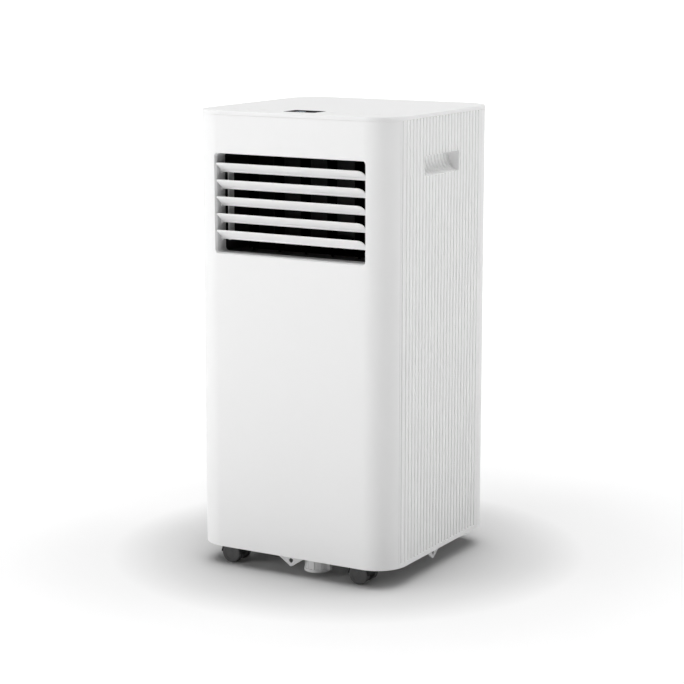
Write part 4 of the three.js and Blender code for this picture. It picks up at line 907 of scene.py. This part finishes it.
def build_top_cover():
    """Top cover with its skirt and lip, key holes and display pocket."""
    low = TOP - SKIRT
    under = TOP - 3.0
    lip = COVER_LOW[2]
    section = [(2.4, TOP), (1.6, TOP), (0.99, TOP - 0.12), (0.47, TOP - 0.47), (0.12, TOP - 0.99),
               (0, TOP - 1.6), (0, low + 0.2), (0.12, low - 0.08), (0.4, low - 0.2), (2.6, low - 0.2),
               (2.6, under), (3.2, under), (3.2, lip), (5.8, lip), (5.8, under)]
    cover = loft("cover_shell", [casing_loop(inset, z) for inset, z in section])
    cutters = [turned("cutter", 2, (x, KEY_ROW), [(low, 5.1), (TOP - 0.35, 5.1), (TOP, 5.45),
                                                   (TOP + 1, 6.45)]) for x in key_places()]
    cutters.append(loft("cutter", [display_loop(-2, low - 1), display_loop(-2, TOP - 2.1),
                                   display_loop(0.3, TOP - 2.1), display_loop(0.3, TOP - 0.25),
                                   display_loop(0.55, TOP), display_loop(1.5, TOP + 1)]))
    combine(cover, cutters)
    deliver(soften(cover), "casing", "white_plastic", "top_cover")


def build_display():
    """Tinted window with two small lit figures."""
    low = corners("display_window")[0][2]
    glass = loft("display_glass", [display_loop(grow, z) for grow, z in (
        (-0.3, low), (0, low + 0.3), (0, TOP - 0.4), (-0.1, TOP - 0.18), (-0.4, TOP - 0.08))])
    deliver(soften(glass), "casing", "display", "display_window")
    width, height, stroke, step = 4.4, 8.0, 0.7, 7.0
    strokes = {
        "top": ((0, height), (width, height)), "middle": ((0, height / 2), (width, height / 2)),
        "foot": ((0, 0), (width, 0)), "upper_left": ((0, height / 2), (0, height)),
        "upper_right": ((width, height / 2), (width, height)),
        "lower_left": ((0, 0), (0, height / 2)), "lower_right": ((width, 0), (width, height / 2)),
    }
    figures = [("top", "upper_right", "middle", "lower_left", "foot"),
               ("upper_left", "upper_right", "middle", "lower_right")]
    bars = []
    for place, figure in enumerate(figures):
        corner = Vector((-step + 1.0 + place * step, KEY_ROW - 14.0))
        for name in figure:
            start, end = (Vector(point) for point in strokes[name])
            along = (end - start).normalized() * stroke * 0.75
            across = Vector((-along.y, along.x)) * 0.6
            start, end = corner + start + along, corner + end - along
            outline = [start - along * 0.5, start + across, end + across, end + along * 0.5,
                       end - across, start - across]
            bars.append(extruded("bar", 2, [tuple(p) for p in outline], TOP - 0.09, TOP - 0.02))
    lit = together(bars)
    lit.name = "display_figures"
    deliver(soften(lit), "casing", "figures")


def build_keys():
    """Press keys with a rounded, slightly dished top and a flange under the cover."""
    for number, x in enumerate(key_places(), 1):
        low, high = corners(f"key_{number}")
        top = high[2]
        flange = low[2] + 1.3
        key = turned(f"key_cap_{number}", 2, (x, KEY_ROW), [
            (low[2], 5.6), (low[2] + 0.2, 5.8), (flange - 0.2, 5.8), (flange, 5.6), (flange, 4.5),
            (top - 0.5, 4.5), (top - 0.15, 4.35), (top, 4.0), (top - 0.08, 3.2), (top - 0.22, 2.0),
            (top - 0.28, 0.6)], 40)
        deliver(soften(key), f"key_{number}", "key_plastic", f"key_{number}")


# ---- Outlet -------------------------------------------------------------------------------

def duct_loop(grow, y):
    """The duct behind the opening, made larger on all sides, at one depth."""
    grow -= DRAFT
    outline = round_rectangle((-OUTLET_SIDE - grow, OUTLET_LOW - grow),
                              (OUTLET_SIDE + grow, OUTLET_HIGH + grow), OUTLET_RADIUS, 8)
    return [(x, y, z) for x, z in outline]


def build_outlet_frame():
    """Frame that carries the louvre pivots, with its upper and lower flange."""
    low, high = corners("outlet_frame")
    wall = 3.0
    start, end = low[1], high[1]
    tube = loft("outlet_sleeve", [
        duct_loop(0.3, start), duct_loop(wall, start), duct_loop(wall, end), duct_loop(0.4, end),
        duct_loop(0.1, end - 0.1), duct_loop(0, end - 0.4), duct_loop(0, start + 0.3)], ring=True)
    flat = SIDE - FRONT_RADIUS
    edge_high = OUTLET_HIGH - DRAFT + 1.5
    edge_low = OUTLET_LOW + DRAFT - 1.5
    bars = [block("bar", (-flat, start, edge_high), (flat, start + wall, high[2])),
            block("bar", (-flat, start, low[2]), (flat, start + wall, edge_low))]
    combine(tube, bars, "UNION")
    holes = []
    for k in range(LOUVRE_COUNT):
        centre = (LOUVRE_PIVOT[1], LOUVRE_PIVOT[2] - k * LOUVRE_PITCH)
        holes.append(turned("hole", 0, centre, [(-140, 2.2), (140, 2.2)], 20))
    combine(tube, holes)
    deliver(soften(tube), "casing", "outlet_grey", "outlet_frame")


def louvre_outline(inset):
    """A louvre blade seen flat: length, and distance in front of its pivot."""
    left, right = -DUCT_SIDE + 0.6 + inset, DUCT_SIDE - 4.6 - inset
    rear, front = -3.0 + inset, 21.0 - inset
    outline = arc((left + 0.8, rear + 0.8), 0.8, 180, 270, 3)
    outline += arc((right - 0.8, rear + 0.8), 0.8, 270, 360, 3)
    outline += arc((right - 8 + inset, front - 8 + inset), 8 - inset, 0, 90, 12)
    outline += arc((left + 3 - inset, front - 3 + inset), 3 - inset, 90, 180, 6)
    return outline


def build_louvres():
    """Five blades with rounded edges, each with its barrel, pivot pins and crank."""
    slope = sizes().louvre_slope
    section = [(0.9, -1.0), (0.35, -0.84), (0.05, -0.4), (0.0, 0.3), (0.3, 0.8), (0.8, 1.0)]
    for k in range(LOUVRE_COUNT):
        y, z = LOUVRE_PIVOT[1], LOUVRE_PIVOT[2] - k * LOUVRE_PITCH
        low, high = corners(f"louvre_{k + 1}")
        loops = []
        for inset, rise in section:
            loops.append([(x, y - reach * math.cos(slope) + rise * math.sin(slope),
                           z + reach * math.sin(slope) + rise * math.cos(slope))
                          for x, reach in louvre_outline(inset)])
        blade = loft(f"louvre_blade_{k + 1}", loops)
        ends = (-DUCT_SIDE + 0.7, DUCT_SIDE - 4.7)
        parts = [
            turned("barrel", 0, (y, z), [(ends[0], 2.1), (ends[0] + 0.3, 2.4), (ends[1] - 0.3, 2.4),
                                         (ends[1], 2.1)], 24),
            turned("pin", 0, (y, z), [(low[0], 1.6), (low[0] + 0.2, 1.8), (high[0] - 0.2, 1.8),
                                      (high[0], 1.6)], 20),
            turned("crank_pin", 0, (y + CRANK, z), [
                (CRANK_SIDE, 1.2), (CRANK_SIDE + 6.0, 1.2), (CRANK_SIDE + 6.1, 2.0),
                (CRANK_SIDE + 6.6, 2.0), (CRANK_SIDE + 6.9, 1.5)], 20),
            extruded("arm", 0, [(y, z - 2.6)] + arc((y + CRANK, z), 3, -90, 90, 10)
                     + [(y, z + 2.6)], CRANK_SIDE, CRANK_SIDE + 2),
            turned("thrust_ring", 0, (y, z), [
                (-DUCT_SIDE + 0.8, 2.9), (-DUCT_SIDE + 0.8, 4.3), (-DUCT_SIDE + 1.0, 4.5),
                (-DUCT_SIDE + 1.6, 4.5), (-DUCT_SIDE + 1.8, 4.3), (-DUCT_SIDE + 1.8, 2.9)], 36,
                ring=True),
        ]
        for place in (-60.0, 0.0, 60.0):
            parts.append(extruded("web", 0, [(y - 6, z + 4.2), (y - 6, z + 3.2), (y, z - 2.2),
                                             (y + 1.6, z - 1.6), (y + 1.6, z)],
                                  place - 0.6, place + 0.6))
        combine(blade, parts, "UNION")
        deliver(soften(blade), f"louvre_{k + 1}", "white_plastic", f"louvre_{k + 1}")


def build_louvre_link():
    """Bar that ties the louvre cranks together."""
    low, high = corners("louvre_link")
    low = [low[0] - LINK_SHIFT, low[1] - LINK_LEAD, low[2]]
    high = [high[0] - LINK_SHIFT, low[1] + LINK_WIDTH, high[2]]
    outline = [round_rectangle((low[1] + inset, low[2] + inset), (high[1] - inset, high[2] - inset),
                               2.0 - inset) for inset in (0.3, 0.0, 0.0, 0.3)]
    places = (low[0], low[0] + 0.3, high[0] - 0.3, high[0])
    link = loft("louvre_tie", [[(x, y, z) for y, z in line] for x, line in zip(places, outline)])
    holes, eyes = [], []
    for k in range(LOUVRE_COUNT):
        centre = (LOUVRE_PIVOT[1] + CRANK, LOUVRE_PIVOT[2] - k * LOUVRE_PITCH)
        holes.append(turned("hole", 0, centre, [(-140, 1.6), (-100, 1.6)], 20))
        eyes.append(turned("eye", 0, centre, [(high[0] - 1, 3.4), (high[0] + 1.2, 3.4),
                                              (high[0] + 1.4, 3.1)], 28))
    combine(link, eyes, "UNION")
    combine(link, holes)
    deliver(soften(link), "louvre_link", "light_plastic", "louvre_link")


# ---- Rear fittings ------------------------------------------------------------------------

def grille_loop(node, inset, y):
    """Outline of a filter grille, moved inwards, at one depth."""
    low, high = corners(node)
    outline = round_rectangle((low[0] + inset, low[2] + inset), (high[0] - inset, high[2] - inset),
                              max(1.2, 3.0 - abs(inset - 12.0)) if inset > 6 else 1.0 + inset * 0.5)
    return [(x, y, z) for x, z in outline]


def build_filter_grilles():
    """Pull-out grilles: a frame, a row of sloping slats and the net behind them."""
    for node in ("upper_filter_grille", "lower_filter_grille"):
        low, high = corners(node)
        back, face = low[1], high[1]
        name = node.replace("_filter_grille", "")
        border = loft(f"{name}_grille_frame", [grille_loop(node, inset, y) for inset, y in (
            (0.0, back), (0.0, face - 0.5), (0.15, face - 0.15), (0.5, face), (11.0, face),
            (11.7, face - 0.3), (12.0, face - 1.0), (12.0, back))], ring=True)
        ledges = []
        for place in (-1, 1):
            middle = place * 62.0
            ledges.append(extruded("ledge", 2, [(middle - 14, face - 0.5), (middle - 12.6, face + 1.8),
                                                (middle + 12.6, face + 1.8), (middle + 14, face - 0.5)],
                                   high[2] - 8.5, high[2] - 6.0))
        combine(border, ledges, "UNION")
        deliver(soften(border, 0.25, 60), node, "white_plastic", node)
        pitch = (high[2] - low[2] - 20) / 12
        half = high[0] - 11.5
        section = [(-3.2, 1.4), (-2.9, 2.1), (-2.2, 2.3), (3.9, -0.9), (4.4, -1.5), (4.3, -2.1),
                   (3.6, -2.2), (-2.6, 0.6)]
        slat = extruded("slat", 0, section, -half, half)
        soften(slat)
        first = (0, (back + face) / 2 + 0.4, low[2] + 12 + pitch - 2)
        row = copies(f"{name}_grille_slats", slat, "white_plastic", row=(SLATS, first, (0, 0, pitch)))
        deliver(row, node, "white_plastic")
        net = loft(f"{name}_filter_net", [grille_loop(node, inset, y) for inset, y in (
            (11.2, back + 0.2), (11.0, back + 0.4), (11.0, back + 0.9), (11.2, back + 1.1))])
        deliver(soften(net), node, "filter_net")


def build_exhaust_collar():
    """Hose collar with a flange, a rolled lip and three bayonet lugs."""
    low, high = corners("exhaust_collar")
    centre = middle_behind("exhaust_collar")
    start, end = low[1], high[1]
    collar = turned("hose_collar", 1, centre, [
        (start, 61.3), (start, 71.6), (start + 0.4, 72), (start + 2.0, 72), (start + 2.5, 71.5),
        (start + 2.6, 65.2), (start + 3.6, 64), (end - 1.4, 64), (end - 0.4, 63.6), (end, 62.8),
        (end - 0.2, 61.5), (end - 1.0, 61), (start + 0.4, 61)], 96, ring=True)
    lugs = []
    for k in range(3):
        middle = 90 + 120 * k
        outline = arc(centre, 66.4, middle - 6, middle + 6, 6)
        outline += arc(centre, 63.2, middle + 8, middle - 8, 8)
        lugs.append(extruded("lug", 1, outline, end - 8.5, end - 4.5))
    combine(collar, lugs, "UNION")
    deliver(soften(collar, 0.3, 55), "casing", "light_plastic", "exhaust_collar")


def build_gland_and_plug():
    """Cable gland with a ribbed nut, and the drain plug with a grip bar."""
    low, high = corners("cable_gland")
    gland = turned("cable_gland_nut", 1, middle_behind("cable_gland"), [
        (low[1], 3.6), (low[1], 7), (REAR + 0.3, 7), (REAR + 0.3, 9.8), (REAR + 0.6, 10),
        (REAR + 2.6, 10), (REAR + 3.0, 9.6), (REAR + 3.2, 7.4), (high[1] - 0.8, 6.6),
        (high[1] - 0.2, 6.0), (high[1], 5.2), (high[1] - 0.3, 3.9), (high[1] - 1.0, 3.6)], 36,
        ring=True)
    deliver(soften(gland), "casing", "black_plastic", "cable_gland")
    low, high = corners("drain_plug")
    centre = middle_behind("drain_plug")
    head = high[1] - 5
    plug = turned("drain_stopper", 1, centre, [
        (low[1], 3.2), (low[1] + 0.6, 4.1), (head, 4.1), (head, 7.7), (head + 0.3, 8),
        (head + 2.4, 8), (head + 2.9, 7.5), (head + 3.0, 1.0)], 40)
    bar = block("bar", (centre[0] - 1.4, head + 2, centre[1] - 6.6),
                (centre[0] + 1.4, high[1], centre[1] + 6.6))
    combine(plug, [soften(bar, 0.6)], "UNION")
    deliver(soften(plug), "drain_plug", "black_plastic", "drain_plug")


def build_screws():
    """Pan-head screws that hold the rear panel."""
    head = turned("screw", 1, (0, 0), [(-0.2, 3.4), (0.3, 3.5), (0.9, 3.2), (1.4, 2.4), (1.6, 1.2),
                                      (1.65, 0.3)], 28)
    slots = [block("slot", (-2.0, 0.7, -0.45), (2.0, 3, 0.45)),
             block("slot", (-0.45, 0.7, -2.0), (0.45, 3, 2.0))]
    combine(head, [combine(slots[0], [slots[1]], "UNION")])
    soften(head)
    places = [(x * sign, REAR, z) for sign in (-1, 1)
              for x, z in ((112, 262), (112, 376), (92, 660), (64, 62))]
    deliver(copies("rear_screws", head, "steel", points=places), "casing", "steel")


# ---- Base and casters ---------------------------------------------------------------------

def build_base_tray():
    """Base tray with its screw tabs, sump and drain neck."""
    tray = refined("base_tray", "base_pan", 0.35)
    height = CASING_LOW - TAB_HOLE_DROP
    reach = SIDE - TAB_INSET
    holes = [
        turned("hole", 1, (TAB_X, height), [(FRONT + 5, TAB_HOLE), (REAR - 5, TAB_HOLE)], 28),
        turned("hole", 0, (FRONT + SIDE_TAB, height), [(-reach - 4, TAB_HOLE), (reach + 4, TAB_HOLE)],
               28),
    ]
    axis = (SUMP_X, FRONT + SUMP_BACK)
    rims = [turned("rim", 2, axis, [
        (SUMP_LOW, 17.0), (SUMP_LOW, 19.4), (SUMP_LOW + 0.5, 20.0), (SUMP_LOW + 4.4, 20.0),
        (SUMP_LOW + 5.0, 19.4), (SUMP_LOW + 5.0, 17.0)], 48, ring=True)]
    for k in range(SUMP_RIBS):
        turn = math.tau * (k + 0.5) / SUMP_RIBS
        middle = (axis[0] + 18.9 * math.cos(turn), axis[1] + 18.9 * math.sin(turn))
        rims.append(turned("rib", 2, middle, [(SUMP_LOW + 2, 0.7), (CASING_LOW + 4, 0.7)], 12))
    combine(tray, rims, "UNION")
    combine(tray, holes)
    deliver(soften(tray), "casing", "light_plastic", "base_tray")


def build_casters():
    """Twin-wheel casters: a hood on a swivel stem, and two dished wheels on an axle."""
    for place in CASTERS:
        x, y, z = joint_place(f"wheels_{place}_roll")
        stem_x, _, _ = joint_place(f"caster_{place}_swivel")
        top = corners(f"caster_housing_{place}")[1][2]
        radius, inner, half, web = 17.5, 16.3, 18.0, 6.9
        shell = arc((x, z), radius, 0, 180, 32) + arc((x, z), inner, 180, 0, 32)
        hood = extruded(f"caster_hood_{place}", 1, shell, y - half, y + half)
        parts = [
            extruded("middle", 1, arc((x, z), radius - 0.3, 0, 180, 32), y - web, y + web),
            turned("web", 1, (x, z), [(y - web, 9.6), (y + web, 9.6)], 40),
            turned("stem", 2, (stem_x, y), [(z + inner - 1.5, 4.0), (top - 0.5, 4.0), (top, 3.5)], 24),
        ]
        combine(hood, parts, "UNION")
        combine(hood, [turned("bore", 1, (x, z), [(y - 20, 2.7), (y + 20, 2.7)], 20)])
        deliver(soften(hood, 0.3), f"caster_{place}", "black_plastic", f"caster_housing_{place}")
        discs = []
        for side in (-1, 1):
            profile = [(half - 0.2, 0.5), (half - 0.2, 3.4), (half - 0.6, 3.8), (half - 0.7, 9.6),
                       (half - 0.35, 10.4), (half, 11.2), (half, 14.5), (half - 0.35, 15.2),
                       (half - 1.0, 15.5), (7.7 + 0.8, 15.5), (7.7, 14.8), (7.7, 0.5)]
            discs.append(turned("disc", 1, (x, z), [(y + side * at, r) for at, r in profile], 56))
        axle = turned(f"caster_wheel_pair_{place}", 1, (x, z), [(y - 8.5, 2.4), (y + 8.5, 2.4)], 20)
        combine(axle, discs, "UNION")
        deliver(soften(axle), f"wheels_{place}", "wheel_plastic", f"caster_wheels_{place}")


# ---- Parts inside, which keep their imported shape ------------------------------------------

# The foam parts, the vanes and the upper fan wheel get finishes darkened into painted shade, so the inside seen
# through the outlet stays black.
INSIDE = {
    "control_board": "board", "louvre_motor": "black_plastic", "vane_": "vane_black",
    "upper_scroll_housing": "black_foam", "lower_scroll_housing": "black_foam",
    "upper_fan_wheel": "vane_black", "lower_fan_wheel": "black_plastic",
    "upper_fan_motor": "steel", "lower_fan_motor": "steel", "evaporator": "fins",
    "condenser": "fins", "partition_deck": "black_foam", "compressor": "enamel",
    "discharge_pipe": "copper", "suction_pipe": "copper", "capillary_pipe": "copper",
    "splash_disc": "black_plastic", "splash_motor": "steel", "control_box": "light_plastic",
    "run_capacitor": "steel",
}


def finish_inside():
    """Gives each part inside the casing its finish."""
    for name, piece in frame["nodes"].items():
        finish = next((INSIDE[key] for key in INSIDE if name.startswith(key)), None)
        if finish is None:
            continue
        piece.data.materials.clear()
        piece.data.materials.append(finish_named(finish))


# ---- Studio -------------------------------------------------------------------------------

WORLD_STRENGTH = 0.07
SUNS = [                 # name, strength, azimuth, elevation, spread
    ("overhead", 2.85, 0.0, 90.0, 72.0),
    ("right_rear", 0.66, 130.0, 22.0, 40.0),
]
SOFTBOXES = [            # name, watts, size, azimuth, elevation, distance
    ("front_left", 44.0, 1.6, -45.0, 3.0, 3.2),
]
FLOOR_REACH = 40000.0
FLOOR_SQUARES = 16
CAMERA_LENS = 106.27
CAMERA_PLACE = (1544.0, -2691.0, 929.0)
CAMERA_TURN = 30.03
CAMERA_DIP = 10.84


def toward(azimuth, elevation):
    """Direction at two angles in degrees; azimuth 0 is the front, 90 the right."""
    turn, rise = math.radians(azimuth), math.radians(elevation)
    return Vector((math.sin(turn) * math.cos(rise), -math.cos(turn) * math.cos(rise), math.sin(rise)))


def aimed(piece, place, towards):
    """Puts a light or the camera in its place, turned away from a direction."""
    piece.rotation_mode = "QUATERNION"
    piece.rotation_quaternion = towards.to_track_quat("Z", "Y")
    piece.location = place


def sun(name, strength, azimuth, elevation, spread):
    """A wide soft light from one direction."""
    light = bpy.data.lights.new(name, "SUN")
    light.energy = strength
    light.angle = math.radians(spread)
    towards = toward(azimuth, elevation)
    aimed(added(name, light), towards * 5, towards)


def softbox(name, watts, size, azimuth, elevation, distance):
    """A square soft light aimed at the middle of the object."""
    light = bpy.data.lights.new(name, "AREA")
    light.energy = watts
    light.size = size
    towards = toward(azimuth, elevation)
    aimed(added(name, light), towards * distance + Vector((0, 0, TOP / 2 * MM)), towards)


def build_studio():
    """Pale floor with a painted contact shadow, soft lights, white surroundings and the camera."""
    scene = bpy.context.scene
    edge = [(k * 2 / FLOOR_SQUARES - 1) * FLOOR_REACH for k in range(FLOOR_SQUARES + 1)]
    points = [(x, y, 0.0) for y in edge for x in edge]
    count = len(edge)
    faces = [(r * count + c, r * count + c + 1, (r + 1) * count + c + 1, (r + 1) * count + c)
             for r in range(count - 1) for c in range(count - 1)]
    mesh = bpy.data.meshes.new("studio_floor")
    mesh.from_pydata([[value * MM for value in point] for point in points], [], faces)
    floor = added("studio_floor", mesh)
    mesh.materials.append(studio_floor("floor_matt"))
    world = bpy.data.worlds.new("studio")
    scene.world = world
    world.use_nodes = True
    world.node_tree.nodes.clear()
    sky = Tree(world.node_tree)
    seen = sky.node("ShaderNodeLightPath", output="Is Camera Ray")
    strength = WORLD_STRENGTH + seen * (1.0 - WORLD_STRENGTH)
    glow = sky.node("ShaderNodeBackground", None, {"Color": (1, 1, 1, 1), "Strength": strength})
    sky.node("ShaderNodeOutputWorld", None, {"Surface": glow})
    for light in SUNS:
        sun(*light)
    for light in SOFTBOXES:
        softbox(*light)
    lens = bpy.data.cameras.new("camera")
    lens.lens = CAMERA_LENS
    lens.sensor_width = 36.0
    lens.clip_end = 200.0
    camera = added("camera", lens)
    aimed(camera, [value * MM for value in CAMERA_PLACE], toward(CAMERA_TURN, CAMERA_DIP))
    scene.camera = camera
    scene.view_settings.view_transform = "Standard"
    scene.view_settings.look = "None"


# ---- Operators, panel and registration ----------------------------------------------------

class AIRCON_OT_studio(bpy.types.Operator):
    """Builds the floor, the lights and the camera."""

    bl_idname = "aircon.studio"
    bl_label = "Studio"

    def execute(self, context):
        build_studio()
        return {"FINISHED"}


class AIRCON_OT_front(bpy.types.Operator):
    """Builds the front panel."""

    bl_idname = "aircon.front"
    bl_label = "Front panel"

    def execute(self, context):
        build_front_panel()
        return {"FINISHED"}


class AIRCON_OT_sides(bpy.types.Operator):
    """Builds the grooved side panels."""

    bl_idname = "aircon.sides"
    bl_label = "Side panels"

    def execute(self, context):
        build_side_panels()
        return {"FINISHED"}


class AIRCON_OT_rear(bpy.types.Operator):
    """Builds the rear panel."""

    bl_idname = "aircon.rear"
    bl_label = "Rear panel"

    def execute(self, context):
        build_rear_panel()
        return {"FINISHED"}


class AIRCON_OT_top(bpy.types.Operator):
    """Builds the top cover, display and keys."""

    bl_idname = "aircon.top"
    bl_label = "Top cover"

    def execute(self, context):
        build_top_cover()
        build_display()
        build_keys()
        return {"FINISHED"}


class AIRCON_OT_outlet(bpy.types.Operator):
    """Builds the outlet frame, louvres and their link."""

    bl_idname = "aircon.outlet"
    bl_label = "Outlet"

    def execute(self, context):
        build_outlet_frame()
        build_louvres()
        build_louvre_link()
        return {"FINISHED"}


class AIRCON_OT_grilles(bpy.types.Operator):
    """Builds the filter grilles."""

    bl_idname = "aircon.grilles"
    bl_label = "Filter grilles"

    def execute(self, context):
        build_filter_grilles()
        return {"FINISHED"}


class AIRCON_OT_fittings(bpy.types.Operator):
    """Builds the hose collar, cable gland, drain plug and screws."""

    bl_idname = "aircon.fittings"
    bl_label = "Rear fittings"

    def execute(self, context):
        build_exhaust_collar()
        build_gland_and_plug()
        build_screws()
        return {"FINISHED"}


class AIRCON_OT_base(bpy.types.Operator):
    """Builds the base tray and the casters."""

    bl_idname = "aircon.base"
    bl_label = "Base and casters"

    def execute(self, context):
        build_base_tray()
        build_casters()
        return {"FINISHED"}


class AIRCON_OT_inside(bpy.types.Operator):
    """Gives the parts inside their finishes."""

    bl_idname = "aircon.inside"
    bl_label = "Parts inside"

    def execute(self, context):
        finish_inside()
        return {"FINISHED"}


OPERATORS = (
    AIRCON_OT_studio, AIRCON_OT_front, AIRCON_OT_sides, AIRCON_OT_rear, AIRCON_OT_top,
    AIRCON_OT_outlet, AIRCON_OT_grilles, AIRCON_OT_fittings, AIRCON_OT_base, AIRCON_OT_inside,
)


class AIRCON_PT_panel(bpy.types.Panel):
    """Lists the pieces and the values that shape them."""

    bl_idname = "AIRCON_PT_panel"
    bl_label = "Air conditioner"
    bl_space_type = "VIEW_3D"
    bl_region_type = "UI"
    bl_category = "Air conditioner"

    def draw(self, context):
        for group in (sizes(), colours()):
            for name in group.__annotations__:
                self.layout.prop(group, name)
        for operator in OPERATORS:
            self.layout.operator(operator.bl_idname)


CLASSES = (CasingSizes, FinishColours, *OPERATORS, AIRCON_PT_panel)


def register():
    """Adds the classes and the scene's values."""
    for each in CLASSES:
        bpy.utils.register_class(each)
    bpy.types.Scene.casing_sizes = bpy.props.PointerProperty(type=CasingSizes)
    bpy.types.Scene.finish_colours = bpy.props.PointerProperty(type=FinishColours)


def unregister():
    """Takes them away again."""
    del bpy.types.Scene.finish_colours
    del bpy.types.Scene.casing_sizes
    for each in reversed(CLASSES):
        bpy.utils.unregister_class(each)


def main():
    """Builds everything in order."""
    register()
    for operator in OPERATORS:
        group, name = operator.bl_idname.split(".")
        getattr(getattr(bpy.ops, group), name)()


if __name__ == "__main__":
    main()
